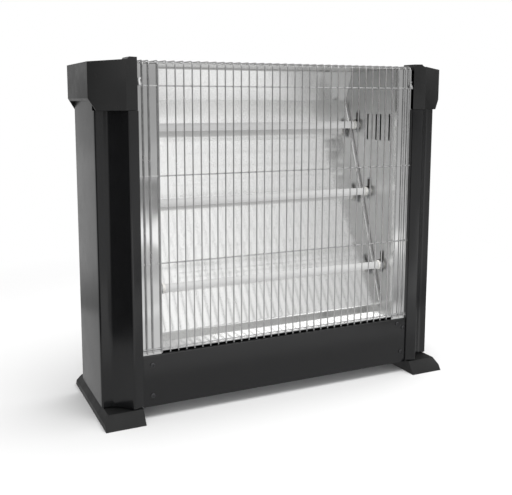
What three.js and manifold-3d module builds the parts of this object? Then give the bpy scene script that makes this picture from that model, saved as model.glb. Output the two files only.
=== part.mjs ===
// Quartz radiant heater: two side posts with grip caps and feet, a slanted reflector with three
// quartz tubes, a wire guard, three rocker switches and a tip-over switch. Millimetres, +Z up, front
// facing -Y. Inside the body group, depth zero is the middle of the guard's upright wires.
import * as THREE from "three";
import { mergeVertices } from "three/addons/utils/BufferGeometryUtils.js";
import Module from "manifold-3d";

const wasm = await Module();
wasm.setup();

// Fits
const CLEARANCE = 0.3;
const OVERRUN = 5;
const ROUND_SIDES = 12;
const SCREW_SIDES = 8;
const ARC_STEPS = 5;

// Body
const BODY_HEIGHT = 511.3;
const OPENING_HALF = 230.4;
const SHEET = 1.2;
const THIN_SHEET = 1;

// Posts, seen from above: a narrow strip, a ridge, a slanted face, a cove and a flat outer side
const POST_WIDTH = 54.5;
const POST_DEPTH = 146;
const POST_STRIP_WIDTH = 13.9;
const POST_STRIP_RISE = 5.8;
const POST_COVE_DEPTH = 25.6;
const POST_COVE_RADIUS = 16;
const POST_FACE_ANGLE = Math.PI / 4;
const POST_STANDS_FORWARD = 0.5;

// Grip caps
const CAP_HEIGHT = 68.4;
const CAP_WALL = 2.2;
const CAP_OVERHANG = 9.6;
const CAP_STRIP_WIDTH = 18.1;
const CAP_CORNER_SET_BACK = 24.6;
const CAP_BACK_OVERHANG = 4.5;
const CAP_CHAMFER_HEIGHT = 16.2;
const CAP_TOP_RISE = 3.1;
const CAP_TOP_DROP = 2;
const CAP_BLOCK_WIDTH = 13.4;
const CAP_BLOCK_HEIGHT = 3.6;
const CAP_BLOCK_DEPTH = 28;
const CAP_BLOCK_FLARE = 2.6;
const CAP_SEAT_DEPTH = 30;
const CAP_HEADROOM = 8;
const CAP_SCREW_RISE = 26;

// Feet
const FOOT_HEIGHT = 19.5;
const FOOT_INSET = 1.6;
const FOOT_OUTER_REACH = 5.1;
const FOOT_FRONT_REACH = 20;
const FOOT_BACK_REACH = 36;
const FOOT_LIP = 8.3;
const FOOT_CHAMFER = 6.5;
const FOOT_NOSE_SLOPE = 14;
const FOOT_WALL = 4;
const FOOT_TOP = 3.5;
const FOOT_BOSS_RADIUS = 5;
const FOOT_SCREW_INSET = 45;

// Base
const BASE_PANEL_TOP = 94.5;
const BASE_PANEL_BOTTOM = 17.5;
const BASE_PANEL_SET_BACK = 1.5;
const BASE_PANEL_RETURN = 8;
const PLATE_POST_MARGIN = 3;
const PLATE_FRONT_MARGIN = 26;

// Reflector, in the section seen from the side
const REFLECTOR_LEDGE_DEPTH = 14.7;
const REFLECTOR_LEDGE_RISE = 2.7;
const REFLECTOR_TOE_DEPTH = 11.4;
const REFLECTOR_TOE_HEIGHT = 16.8;
const REFLECTOR_SLANT_DEPTH = 103.1;
const REFLECTOR_HOOD_DEPTH = 15.5;
const REFLECTOR_HOOD_HEIGHT = 46.1;
const REFLECTOR_TOP_DROP = 3.4;
const REFLECTOR_LIP_HEIGHT = 3;
const FLANGE_WIDTH = 29.4;
const CHEEK_BACK_INSET = 15;
const RIB_WIDTH = 5;
const RIB_HEIGHT = 1.3;
const RIB_PITCH = 21.5;
const RIBS_PER_GROUP = 4;
const RIB_END_MARGIN = 22;
const RIB_GROUP_SHARES = [0.717, 0.319];
const SLOT_COUNT = 6;
const SLOT_WIDTH = 3.4;
const SLOT_HEIGHT = 43;
const SLOT_PITCH = 10.7;
const SLOT_FRONT_MARGIN = 17.5;
const SLOT_TOP_DROP = 68.9;

// Guard
const WIRE = 2;
const WIRE_WELD = 0.3;
const WIRE_GAPS = 32;
const FLANGE_WIRE_SHARES = [0.44, 0.74];
const GUARD_FIRST_ROW_DROP = 33.6;
const GUARD_LOW_ROW_RISE = 8.3;
const GUARD_DOUBLE_ROW_GAP = 4.3;
const GUARD_STUB = 1.6;
const GUARD_TOP_DEPTH = 37;
const GUARD_BEND_RADIUS = 4;
const GUARD_BEND_STEPS = 2;
const GUARD_CLIP_WIDTH = 4.5;
const GUARD_CLIP_FOOT = 4;
const GUARD_CLIP_RISE = 7;

// Tubes and their holders
const TUBE_RADIUS = 6;
const TUBE_WALL = 1.6;
const TUBE_STAND_OFF = 20;
const TUBE_LEVELS = ["top", "middle", "bottom"];
const TUBE_SHARES = [0.861, 0.535, 0.182];
const TUBE_SEAT = 7;
const COIL_RADIUS = 3.2;
const COIL_END_GAP = 6;
const PIN_RADIUS = 1.5;
const PIN_REACH = 8;
const HOLDER_RADIUS = 7.8;
const HOLDER_LENGTH = 10;
const HOLDER_NECK_RADIUS = 5.5;
const HOLDER_NECK_LENGTH = 8;
const HOLDER_STAND_OFF = 1.4;
const CLIP_BAND = 0.9;
const CLIP_BAND_LENGTH = 5;
const CLIP_LUG_WIDTH = 5;
const CLIP_LUG_HEIGHT = 24;
const CLIP_LUG_THICKNESS = 1.1;
const CLIP_LUG_STAND_OFF = 0.7;
const CLIP_TAIL_HEIGHT = 13;

// Rear cover
const COVER_SIDE_LAP = 20;
const COVER_TOP_FRONT = 46;
const COVER_SLOT_WIDTH = 4;
const COVER_SLOT_LENGTH = 34;
const COVER_SLOT_PITCH = 24;
const COVER_SLOT_COUNT = 15;
const COVER_SCREW_MARGIN = 42;

// Switches on the outer side of the right post
const SWITCH_COUNT = 3;
const SWITCH_PITCH = 32;
const SWITCH_TOP_DROP = 48;
const SWITCH_DEPTH_PLACE = 66;
const BEZEL_WIDTH = 17;
const BEZEL_HEIGHT = 24;
const BEZEL_THICKNESS = 1.6;
const SWITCH_BODY_WIDTH = 14;
const SWITCH_BODY_HEIGHT = 21;
const SWITCH_BODY_DEPTH = 16;
const SWITCH_POCKET_DEPTH = 7.5;
const SWITCH_WALL = 1.2;
const SWITCH_BLADE_LENGTH = 6;
const SWITCH_BLADE_WIDTH = 4.8;
const SWITCH_BLADE_THICKNESS = 0.8;
const ROCKER_TILT = THREE.MathUtils.degToRad(10);
const ROCKER_AXIS_DEPTH = 3.8;
const ROCKER_CREST = 2.4;
const ROCKER_VALLEY = 0.5;
const ROCKER_BACK_ANGLE = THREE.MathUtils.degToRad(105);
const ROCKER_ARC_STEPS = 3;
const ROCKER_PIN_RADIUS = 1.2;

// Tip-over switch
const TIP_PLACE_X = -60;
const TIP_PLACE_DEPTH = 68;
const TIP_BODY_WIDTH = 18;
const TIP_BODY_HEIGHT = 26;
const TIP_TRAVEL = 6;
const TIP_STEM_RADIUS = 3;
const TIP_COLLAR_RADIUS = 5;
const TIP_COLLAR_HEIGHT = 2;
const TIP_CHAMBER_FLOOR = 8;
const TIP_PAD_RADIUS = 8;
const TIP_PAD_HEIGHT = 3;
const TIP_STEM_TAIL = 3;

// Terminal block, cord gland, thermal cut-out and wiring
const TERMINAL_INSET = 40.4;
const TERMINAL_DEPTH_PLACE = 96;
const TERMINAL_LENGTH = 40;
const TERMINAL_WIDTH = 18;
const TERMINAL_HEIGHT = 15;
const TERMINAL_WAYS = 3;
const TERMINAL_BORE_RADIUS = 2.4;
const GLAND_INSET = 60.4;
const GLAND_RISE = 30;
const GLAND_BORE_RADIUS = 3.8;
const GLAND_NECK_RADIUS = 6;
const GLAND_FLANGE_RADIUS = 9.5;
const GLAND_FLANGE = 2.4;
const GLAND_GROOVE = 0.3;
const CUTOUT_RADIUS = 8;
const CUTOUT_HEIGHT = 7;
const CUTOUT_SHARE = 0.8;
const CUTOUT_PLACE_X = 90;
const CUTOUT_TAB_LENGTH = 26;
const CUTOUT_TAB_WIDTH = 9;
const CUTOUT_TAB_THICKNESS = 1.2;
const LOOM_RADIUS = 2.6;
const LOOM_SIDES = 8;
const LOOM_STEPS = 30;
const LOOM_HOLE_RADIUS = 6;

// Screws
const SCREW_RADIUS = 1.7;
const SCREW_HEAD_RADIUS = 3.5;
const SCREW_HEAD_HEIGHT = 1.8;
const SCREW_CROWN_SHARE = 0.62;
const SCREW_LENGTH = 9;
const FOOT_SCREW_LENGTH = 19;
const SCREW_SLOT_WIDTH = 0.9;
const SCREW_SLOT_DEPTH = 0.8;

// Places worked out from the sizes above
const POST_FRONT_Y = -POST_STANDS_FORWARD;
const POST_BACK_Y = POST_FRONT_Y + POST_DEPTH;
const POST_OUTER_X = OPENING_HALF + POST_WIDTH;
const PLATE_BOTTOM_Z = FOOT_HEIGHT + CLEARANCE;
const PLATE_TOP_Z = PLATE_BOTTOM_Z + SHEET;
const POST_BOTTOM_Z = PLATE_TOP_Z + CLEARANCE;
const CAP_OUTER_X = POST_OUTER_X + CAP_OVERHANG;
const CAP_OUTER_TOP_Z = BODY_HEIGHT - CAP_TOP_DROP;
const CAP_INNER_TOP_Z = CAP_OUTER_TOP_Z + CAP_TOP_RISE;
const CAP_BOTTOM_Z = CAP_INNER_TOP_Z - CAP_HEIGHT;
const CAP_BACK_Y = POST_BACK_Y + CAP_BACK_OVERHANG;
const POST_TOP_Z = CAP_OUTER_TOP_Z - CAP_WALL - CAP_HEADROOM;
const FOOT_INNER_X = OPENING_HALF + FOOT_INSET;
const FOOT_OUTER_X = POST_OUTER_X + FOOT_OUTER_REACH;
const FOOT_FRONT_Y = POST_FRONT_Y - FOOT_FRONT_REACH;
const FOOT_BACK_Y = POST_BACK_Y + FOOT_BACK_REACH;
const FLANGE_FRONT_Y = BASE_PANEL_SET_BACK + SHEET + CLEARANCE;
const FLANGE_OUTER_X = OPENING_HALF - 2 * CLEARANCE;
const CAVITY_HALF = OPENING_HALF - FLANGE_WIDTH;
const REFLECTOR_FRONT_Y = FLANGE_FRONT_Y + THIN_SHEET + CLEARANCE;
const REFLECTOR_TOP_Z = BODY_HEIGHT - WIRE - REFLECTOR_TOP_DROP;
const COVER_FRONT_Y = POST_BACK_Y + CLEARANCE;
const TERMINAL_PLACE_X = OPENING_HALF - TERMINAL_INSET - TERMINAL_LENGTH;
const GLAND_PLACE_X = OPENING_HALF - GLAND_INSET;
const COVER_TOP_Z = REFLECTOR_TOP_Z + 2 * CLEARANCE + SHEET;

// Geometry helpers
const point = (x, y) => new THREE.Vector2(x, y);

function solidOf(geometry) {
  const bare = geometry.clone();
  bare.deleteAttribute("normal");
  bare.deleteAttribute("uv");
  const merged = mergeVertices(bare, CLEARANCE / 1000);
  return new wasm.Manifold(
    new wasm.Mesh({
      numProp: 3,
      vertProperties: new Float32Array(merged.attributes.position.array),
      triVerts: new Uint32Array(merged.index.array),
    }),
  );
}

function geometryOf(solid) {
  const mesh = solid.getMesh();
  const geometry = new THREE.BufferGeometry();
  geometry.setAttribute("position", new THREE.BufferAttribute(mesh.vertProperties, mesh.numProp));
  geometry.setIndex(new THREE.BufferAttribute(mesh.triVerts, 1));
  const faceted = geometry.toNonIndexed();
  faceted.computeVertexNormals();
  return faceted;
}

function joined(solids) {
  return solids.reduce((sum, solid) => sum.add(solid));
}

function prismAlongZ(points, from, to) {
  const geometry = new THREE.ExtrudeGeometry(new THREE.Shape(points), {
    depth: to - from,
    bevelEnabled: false,
  });
  geometry.translate(0, 0, from);
  return solidOf(geometry);
}

// Outline points are (depth, height), the prism runs along the width.
function prismAlongX(points, from, to) {
  const geometry = new THREE.ExtrudeGeometry(new THREE.Shape(points), {
    depth: to - from,
    bevelEnabled: false,
  });
  const turn = new THREE.Matrix4().makeBasis(
    new THREE.Vector3(0, 1, 0),
    new THREE.Vector3(0, 0, 1),
    new THREE.Vector3(1, 0, 0),
  );
  geometry.applyMatrix4(turn);
  geometry.translate(from, 0, 0);
  return solidOf(geometry);
}

// Outline points are (width, height), the prism runs along the depth.
function prismAlongY(points, from, to) {
  const geometry = new THREE.ExtrudeGeometry(new THREE.Shape(points), {
    depth: to - from,
    bevelEnabled: false,
  });
  geometry.rotateX(Math.PI / 2);
  geometry.translate(0, to, 0);
  return solidOf(geometry);
}

function block(x0, x1, y0, y1, z0, z1) {
  const geometry = new THREE.BoxGeometry(x1 - x0, y1 - y0, z1 - z0);
  geometry.translate((x0 + x1) / 2, (y0 + y1) / 2, (z0 + z1) / 2);
  return solidOf(geometry);
}

// A round bar or hole along one axis, given by the place of its centre line and its two ends.
function bar(axis, radius, centre, from, to, sides = ROUND_SIDES) {
  const geometry = new THREE.CylinderGeometry(radius, radius, to - from, sides);
  if (axis === "x") geometry.rotateZ(-Math.PI / 2);
  if (axis === "z") geometry.rotateX(Math.PI / 2);
  geometry.translate(centre.x, centre.y, centre.z);
  const middle = (from + to) / 2;
  geometry.translate(
    axis === "x" ? middle : 0,
    axis === "y" ? middle : 0,
    axis === "z" ? middle : 0,
  );
  return solidOf(geometry);
}

const at = (x, y, z) => new THREE.Vector3(x, y, z);

// Points are (radius, height) from one end of the axis to the other, or a closed ring.
function turned(points, sides = ROUND_SIDES) {
  return new THREE.LatheGeometry(points, sides);
}

function arc(centre, radius, from, to, steps = ARC_STEPS) {
  const points = [];
  for (let i = 0; i <= steps; i++) {
    const angle = from + ((to - from) * i) / steps;
    points.push(point(centre.x + radius * Math.cos(angle), centre.y + radius * Math.sin(angle)));
  }
  return points;
}

// Moves each side of an outline that runs anticlockwise inward by the same distance.
function inset(points, distance) {
  return points.map((here, i) => {
    const before = points[(i + points.length - 1) % points.length];
    const after = points[(i + 1) % points.length];
    return mitre(before, here, after, distance);
  });
}

// The corner at here moved to the left of the path by the distance, with a mitred joint.
function mitre(before, here, after, distance) {
  const into = here.clone().sub(before).normalize();
  const out = after.clone().sub(here).normalize();
  const leftIn = point(-into.y, into.x);
  const leftOut = point(-out.y, out.x);
  const along = leftIn.clone().add(leftOut);
  return here.clone().add(along.multiplyScalar(distance / (1 + leftIn.dot(leftOut))));
}

// The path moved to its left side.
function beside(path, distance) {
  return path.map((here, i) => {
    const before = i ? path[i - 1] : here.clone().add(here).sub(path[1]);
    const last = path.length - 1;
    const after = i < last ? path[i + 1] : here.clone().add(here).sub(path[last - 1]);
    return mitre(before, here, after, distance);
  });
}

// A bent sheet: the path and the same path moved to its left.
function sheetOutline(path, thickness) {
  return [...path, ...beside(path, thickness).reverse()];
}

// Materials
const finish = (color, roughness, metalness) =>
  new THREE.MeshStandardMaterial({ color, roughness, metalness });
const blackSteel = finish(0x131416, 0.28, 0.3);
const blackPlastic = finish(0x26282a, 0.5, 0);
const footPlastic = finish(0x222426, 0.55, 0);
const brightSheet = finish(0xd9dbdc, 0.12, 1);
const wireChrome = finish(0xc6c9cb, 0.2, 1);
const zincSteel = finish(0xa8abad, 0.4, 1);
const quartz = finish(0xe9ebe8, 0.35, 0);
const ceramic = finish(0xf2f0e8, 0.6, 0);
const coilAlloy = finish(0x6a6663, 0.5, 0.9);
const darkSteel = finish(0x4c4e50, 0.4, 0.9);
const insulator = finish(0xe4e2da, 0.55, 0);
const loomRubber = finish(0x1c1c1e, 0.7, 0);

// Body group: the middle of the feet comes to depth zero.
const heater = new THREE.Group();
const body = new THREE.Group();
body.position.y = -(FOOT_FRONT_Y + FOOT_BACK_Y) / 2;
heater.add(body);

function place(name, geometry, material, position = at(0, 0, 0)) {
  const mesh = new THREE.Mesh(geometry, material.clone());
  mesh.name = name;
  mesh.position.copy(position);
  body.add(mesh);
  return mesh;
}

// The same piece on both sides, mirrored about the middle.
function placePair(name, geometry, material) {
  place(`${name}_right`, geometry, material);
  place(`${name}_left`, geometry, material).scale.x = -1;
}

// Posts
const ridge = point(OPENING_HALF + POST_STRIP_WIDTH, POST_FRONT_Y - POST_STRIP_RISE);

function postOutline() {
  const lipY = ridge.y + POST_COVE_DEPTH;
  const cornerX = ridge.x + POST_COVE_DEPTH / Math.tan(POST_FACE_ANGLE);
  const tangent = POST_COVE_RADIUS * Math.tan(POST_FACE_ANGLE / 2);
  const coveCentre = point(cornerX + tangent, lipY - POST_COVE_RADIUS);
  return [
    point(OPENING_HALF, POST_BACK_Y),
    point(OPENING_HALF, POST_FRONT_Y),
    ridge.clone(),
    ...arc(coveCentre, POST_COVE_RADIUS, Math.PI / 2 + POST_FACE_ANGLE, Math.PI / 2),
    point(POST_OUTER_X, lipY),
    point(POST_OUTER_X, POST_BACK_Y),
  ];
}

const switchX = POST_OUTER_X;
const switchY = POST_FRONT_Y + SWITCH_DEPTH_PLACE;
const switchZ = (i) => CAP_BOTTOM_Z - SWITCH_TOP_DROP - i * SWITCH_PITCH;
const coverScrewX = OPENING_HALF + COVER_SIDE_LAP / 2;
const coverScrewZ = [
  POST_BOTTOM_Z + COVER_SCREW_MARGIN,
  CAP_BOTTOM_Z - COVER_SCREW_MARGIN,
];
const capScrewX = (OPENING_HALF + POST_OUTER_X) / 2;
const capScrewZ = CAP_BOTTOM_Z + CAP_SCREW_RISE;
const loomGateZ = (PLATE_TOP_Z + BASE_PANEL_TOP) / 2;
const loomY = TERMINAL_DEPTH_PLACE;
const screwBore = (axis, centre, from, to) =>
  bar(axis, SCREW_RADIUS + CLEARANCE, centre, from, to, SCREW_SIDES);

function makePost() {
  const outline = postOutline();
  const shell = prismAlongZ(outline, POST_BOTTOM_Z, POST_TOP_Z);
  const hollow = prismAlongZ(inset(outline, SHEET), POST_BOTTOM_Z - OVERRUN, POST_TOP_Z + OVERRUN);
  const capSeat = block(
    OPENING_HALF - OVERRUN,
    POST_OUTER_X + OVERRUN,
    ridge.y - OVERRUN,
    POST_FRONT_Y + CAP_SEAT_DEPTH,
    CAP_BOTTOM_Z - CLEARANCE,
    POST_TOP_Z + OVERRUN,
  );
  const backHoles = [...coverScrewZ.map((z) => [coverScrewX, z]), [capScrewX, capScrewZ]].map(
    ([x, z]) => screwBore("y", at(x, 0, z), POST_BACK_Y - OVERRUN, POST_BACK_Y + OVERRUN),
  );
  return shell.subtract(joined([hollow, capSeat, ...backHoles]));
}

function switchCutOuts() {
  const half = point(SWITCH_BODY_WIDTH / 2 + CLEARANCE, SWITCH_BODY_HEIGHT / 2 + CLEARANCE);
  const cuts = [];
  for (let i = 0; i < SWITCH_COUNT; i++) {
    const z = switchZ(i);
    cuts.push(
      block(
        switchX - OVERRUN,
        switchX + OVERRUN,
        switchY - half.x,
        switchY + half.x,
        z - half.y,
        z + half.y,
      ),
    );
  }
  return joined(cuts);
}

const plainPost = makePost();
const loomHole = bar(
  "x",
  LOOM_HOLE_RADIUS,
  at(0, loomY, loomGateZ),
  OPENING_HALF - OVERRUN,
  OPENING_HALF + OVERRUN,
);
const fittedPost = plainPost.subtract(switchCutOuts().add(loomHole));
place("post_right", geometryOf(fittedPost), blackSteel);
place("post_left", geometryOf(plainPost), blackSteel).scale.x = -1;

// Grip caps: a shell open below and towards the middle, with a finger recess behind the outer wall
function makeCap() {
  const innerX = OPENING_HALF - CLEARANCE;
  const capRidge = point(
    innerX + CAP_STRIP_WIDTH,
    POST_FRONT_Y - (POST_STRIP_RISE * CAP_STRIP_WIDTH) / POST_STRIP_WIDTH,
  );
  const plan = [
    point(innerX, CAP_BACK_Y),
    point(innerX, POST_FRONT_Y),
    capRidge,
    point(CAP_OUTER_X, capRidge.y + CAP_CORNER_SET_BACK),
    point(CAP_OUTER_X, CAP_BACK_Y),
  ];
  const front = [
    point(innerX, CAP_BOTTOM_Z),
    point(POST_OUTER_X, CAP_BOTTOM_Z),
    point(CAP_OUTER_X, CAP_BOTTOM_Z + CAP_CHAMFER_HEIGHT),
    point(CAP_OUTER_X, CAP_OUTER_TOP_Z),
    point(capRidge.x, CAP_INNER_TOP_Z),
    point(innerX, CAP_INNER_TOP_Z),
  ];
  const planInside = inset(plan, CAP_WALL);
  planInside[0].x = innerX - OVERRUN;
  planInside[1].x = innerX - OVERRUN;
  const headZ = CAP_OUTER_TOP_Z - CAP_WALL;
  const outer = prismAlongZ(plan, CAP_BOTTOM_Z - OVERRUN, CAP_INNER_TOP_Z + OVERRUN).intersect(
    prismAlongY(front, capRidge.y - OVERRUN, CAP_BACK_Y + OVERRUN),
  );
  const inner = prismAlongZ(planInside, CAP_BOTTOM_Z - OVERRUN, headZ);
  const blockTop = CAP_INNER_TOP_Z + CAP_BLOCK_HEIGHT;
  const blockFront = [
    point(innerX, headZ),
    point(innerX + CAP_BLOCK_WIDTH + CAP_BLOCK_FLARE, headZ),
    point(innerX + CAP_BLOCK_WIDTH + CAP_BLOCK_FLARE, CAP_INNER_TOP_Z),
    point(innerX + CAP_BLOCK_WIDTH, CAP_INNER_TOP_Z + CAP_BLOCK_HEIGHT / 2),
    point(innerX + CAP_BLOCK_WIDTH - CAP_BLOCK_FLARE / 2, blockTop),
    point(innerX, blockTop),
  ];
  const crest = prismAlongY(
    blockFront,
    capRidge.y - OVERRUN,
    POST_FRONT_Y + CAP_BLOCK_DEPTH,
  ).intersect(prismAlongZ(plan, headZ - OVERRUN, blockTop + OVERRUN));
  const backHole = screwBore(
    "y",
    at(capScrewX, 0, capScrewZ),
    CAP_BACK_Y - CAP_WALL - OVERRUN,
    CAP_BACK_Y + OVERRUN,
  );
  return outer.add(crest).subtract(inner.add(backHole));
}
placePair("cap", geometryOf(makeCap()), blackPlastic);

// Feet: moulded shells open below, with two screw bosses each
const footScrewX = (FOOT_INNER_X + FOOT_OUTER_X) / 2;
const footScrewY = [POST_FRONT_Y + FOOT_SCREW_INSET, POST_BACK_Y - FOOT_SCREW_INSET];
const footBossZ = FOOT_HEIGHT - FOOT_LIP - FOOT_TOP;

function footShell(shrink, floor) {
  const acrossTop = FOOT_HEIGHT - (shrink ? FOOT_TOP : 0);
  const across = [
    point(FOOT_INNER_X + shrink, floor),
    point(FOOT_OUTER_X - shrink, floor),
    point(FOOT_OUTER_X - shrink, FOOT_LIP - shrink / 2),
    point(FOOT_OUTER_X - FOOT_CHAMFER - shrink, acrossTop),
    point(FOOT_INNER_X + shrink, acrossTop),
  ];
  const along = [
    point(FOOT_FRONT_Y + shrink, floor),
    point(FOOT_BACK_Y - shrink, floor),
    point(FOOT_BACK_Y - FOOT_NOSE_SLOPE - shrink, acrossTop),
    point(FOOT_FRONT_Y + FOOT_NOSE_SLOPE + shrink, acrossTop),
  ];
  return prismAlongY(across, FOOT_FRONT_Y - OVERRUN, FOOT_BACK_Y + OVERRUN).intersect(
    prismAlongX(along, FOOT_INNER_X - OVERRUN, FOOT_OUTER_X + OVERRUN),
  );
}

function makeFoot() {
  const bosses = footScrewY.map((y) =>
    bar("z", FOOT_BOSS_RADIUS, at(footScrewX, y, 0), footBossZ, FOOT_HEIGHT - FOOT_TOP / 2),
  );
  const bores = footScrewY.map((y) =>
    screwBore("z", at(footScrewX, y, 0), footBossZ - OVERRUN, FOOT_HEIGHT + OVERRUN),
  );
  return footShell(0, 0)
    .subtract(footShell(FOOT_WALL, -OVERRUN))
    .add(joined(bosses))
    .subtract(joined(bores));
}
placePair("foot", geometryOf(makeFoot()), footPlastic);

// Base floor plate: reaches under both posts, which stand on it
function makeFloorPlate() {
  const reach = POST_OUTER_X - PLATE_POST_MARGIN;
  const underPosts = block(
    -reach,
    reach,
    POST_FRONT_Y + PLATE_FRONT_MARGIN,
    POST_BACK_Y - PLATE_POST_MARGIN,
    PLATE_BOTTOM_Z,
    PLATE_TOP_Z,
  );
  const between = block(
    -FLANGE_OUTER_X,
    FLANGE_OUTER_X,
    FLANGE_FRONT_Y,
    POST_BACK_Y,
    PLATE_BOTTOM_Z,
    PLATE_TOP_Z,
  );
  const through = [PLATE_BOTTOM_Z - OVERRUN, PLATE_TOP_Z + OVERRUN];
  const holes = [
    bar("z", TIP_STEM_RADIUS + 2 * CLEARANCE, at(TIP_PLACE_X, TIP_PLACE_DEPTH, 0), ...through),
  ];
  for (const side of [-1, 1]) {
    for (const y of footScrewY) {
      holes.push(screwBore("z", at(side * footScrewX, y, 0), ...through));
    }
  }
  return underPosts.add(between).subtract(joined(holes));
}
place("base_floor_plate", geometryOf(makeFloorPlate()), zincSteel);

// Base front panel with a short return along its top; its screws stand at shares of its half width
// and height
const basePanelHeight = BASE_PANEL_TOP - BASE_PANEL_BOTTOM;
const PANEL_SCREW_NAMES = ["left_upper", "left_lower", "right_upper", "right_middle", "right_lower"];
const PANEL_SCREW_SHARES = [
  [-0.934, 0.192],
  [-0.934, 0.788],
  [0.9206, 0.114],
  [0.9722, 0.2143],
  [0.957, 0.753],
];
const panelScrewPlace = ([across, down]) =>
  at(OPENING_HALF * across, BASE_PANEL_SET_BACK, BASE_PANEL_TOP - basePanelHeight * down);

function panelScrewHoles() {
  return joined(
    PANEL_SCREW_SHARES.map((screw) => {
      const centre = panelScrewPlace(screw);
      return screwBore("y", centre.setY(0), -OVERRUN, FLANGE_FRONT_Y + OVERRUN);
    }),
  );
}

function makeBasePanel() {
  const half = OPENING_HALF - 2 * CLEARANCE;
  const face = block(
    -half,
    half,
    BASE_PANEL_SET_BACK,
    BASE_PANEL_SET_BACK + SHEET,
    BASE_PANEL_BOTTOM,
    BASE_PANEL_TOP,
  );
  const returnHalf = CAVITY_HALF - 2 * CLEARANCE;
  const topReturn = block(
    -returnHalf,
    returnHalf,
    BASE_PANEL_SET_BACK,
    BASE_PANEL_SET_BACK + BASE_PANEL_RETURN,
    BASE_PANEL_TOP - SHEET,
    BASE_PANEL_TOP,
  );
  return face.add(topReturn).subtract(panelScrewHoles());
}
place("base_front_panel", geometryOf(makeBasePanel()), blackSteel);

// Reflector: ledge, toe, slanted back, hood, top and lip in one bent sheet with pressed ribs
const ledgeZ = BASE_PANEL_TOP + 2 * CLEARANCE + THIN_SHEET;
const toe = point(REFLECTOR_FRONT_Y + REFLECTOR_LEDGE_DEPTH, ledgeZ + REFLECTOR_LEDGE_RISE);
const slantFoot = point(toe.x + REFLECTOR_TOE_DEPTH, toe.y + REFLECTOR_TOE_HEIGHT);
const reflectorInnerTop = REFLECTOR_TOP_Z - THIN_SHEET;
const slantHead = point(
  slantFoot.x + REFLECTOR_SLANT_DEPTH,
  reflectorInnerTop - REFLECTOR_HOOD_HEIGHT,
);
const hoodHead = point(slantHead.x - REFLECTOR_HOOD_DEPTH, reflectorInnerTop);
const slant = slantHead.clone().sub(slantFoot);
const slantAlong = slant.clone().normalize();
const slantForward = point(-slantAlong.y, slantAlong.x);
const onSlant = (share, forward) =>
  slantFoot
    .clone()
    .add(slant.clone().multiplyScalar(share))
    .add(slantForward.clone().multiplyScalar(forward));

const reflectorPath = [
  point(REFLECTOR_FRONT_Y, ledgeZ),
  toe,
  slantFoot,
  slantHead,
  hoodHead,
  point(REFLECTOR_FRONT_Y + THIN_SHEET, reflectorInnerTop),
];

function ribOutline(share, place) {
  const middle = slantAlong.clone().multiplyScalar(place);
  const half = slantAlong.clone().multiplyScalar(RIB_WIDTH / 2);
  const root = onSlant(share, -THIN_SHEET / 2).add(middle);
  const crest = onSlant(share, RIB_HEIGHT).add(middle);
  const shoulder = slantAlong.clone().multiplyScalar(RIB_WIDTH / 6);
  return [
    root.clone().sub(half),
    root.clone().add(half),
    crest.clone().add(shoulder),
    crest.clone().sub(shoulder),
  ];
}

function makeReflector() {
  const lip = [
    point(REFLECTOR_FRONT_Y, reflectorInnerTop),
    point(REFLECTOR_FRONT_Y + 2 * THIN_SHEET, reflectorInnerTop),
    point(REFLECTOR_FRONT_Y + THIN_SHEET, REFLECTOR_TOP_Z + REFLECTOR_LIP_HEIGHT),
    point(REFLECTOR_FRONT_Y, REFLECTOR_TOP_Z + REFLECTOR_LIP_HEIGHT),
  ];
  const parts = [
    prismAlongX(
      sheetOutline(reflectorPath, -THIN_SHEET).reverse(),
      -FLANGE_OUTER_X,
      FLANGE_OUTER_X,
    ),
    prismAlongX(lip, -FLANGE_OUTER_X, FLANGE_OUTER_X),
  ];
  const ribHalf = CAVITY_HALF - CHEEK_BACK_INSET - RIB_END_MARGIN;
  for (const share of RIB_GROUP_SHARES) {
    for (let i = 0; i < RIBS_PER_GROUP; i++) {
      const offset = (i - (RIBS_PER_GROUP - 1) / 2) * RIB_PITCH;
      parts.push(prismAlongX(ribOutline(share, offset), -ribHalf, ribHalf));
    }
  }
  return joined(parts);
}
place("reflector", geometryOf(makeReflector()), brightSheet);

// Reflector side panels: a flange beside the post and a slotted cheek that runs back to the reflector
const cheekDepth = slantHead.x - FLANGE_FRONT_Y;
const cheekX = (y) => CAVITY_HALF - (CHEEK_BACK_INSET * (y - FLANGE_FRONT_Y)) / cheekDepth;
const tubeCentre = (share) => onSlant(share, TUBE_STAND_OFF);

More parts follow.
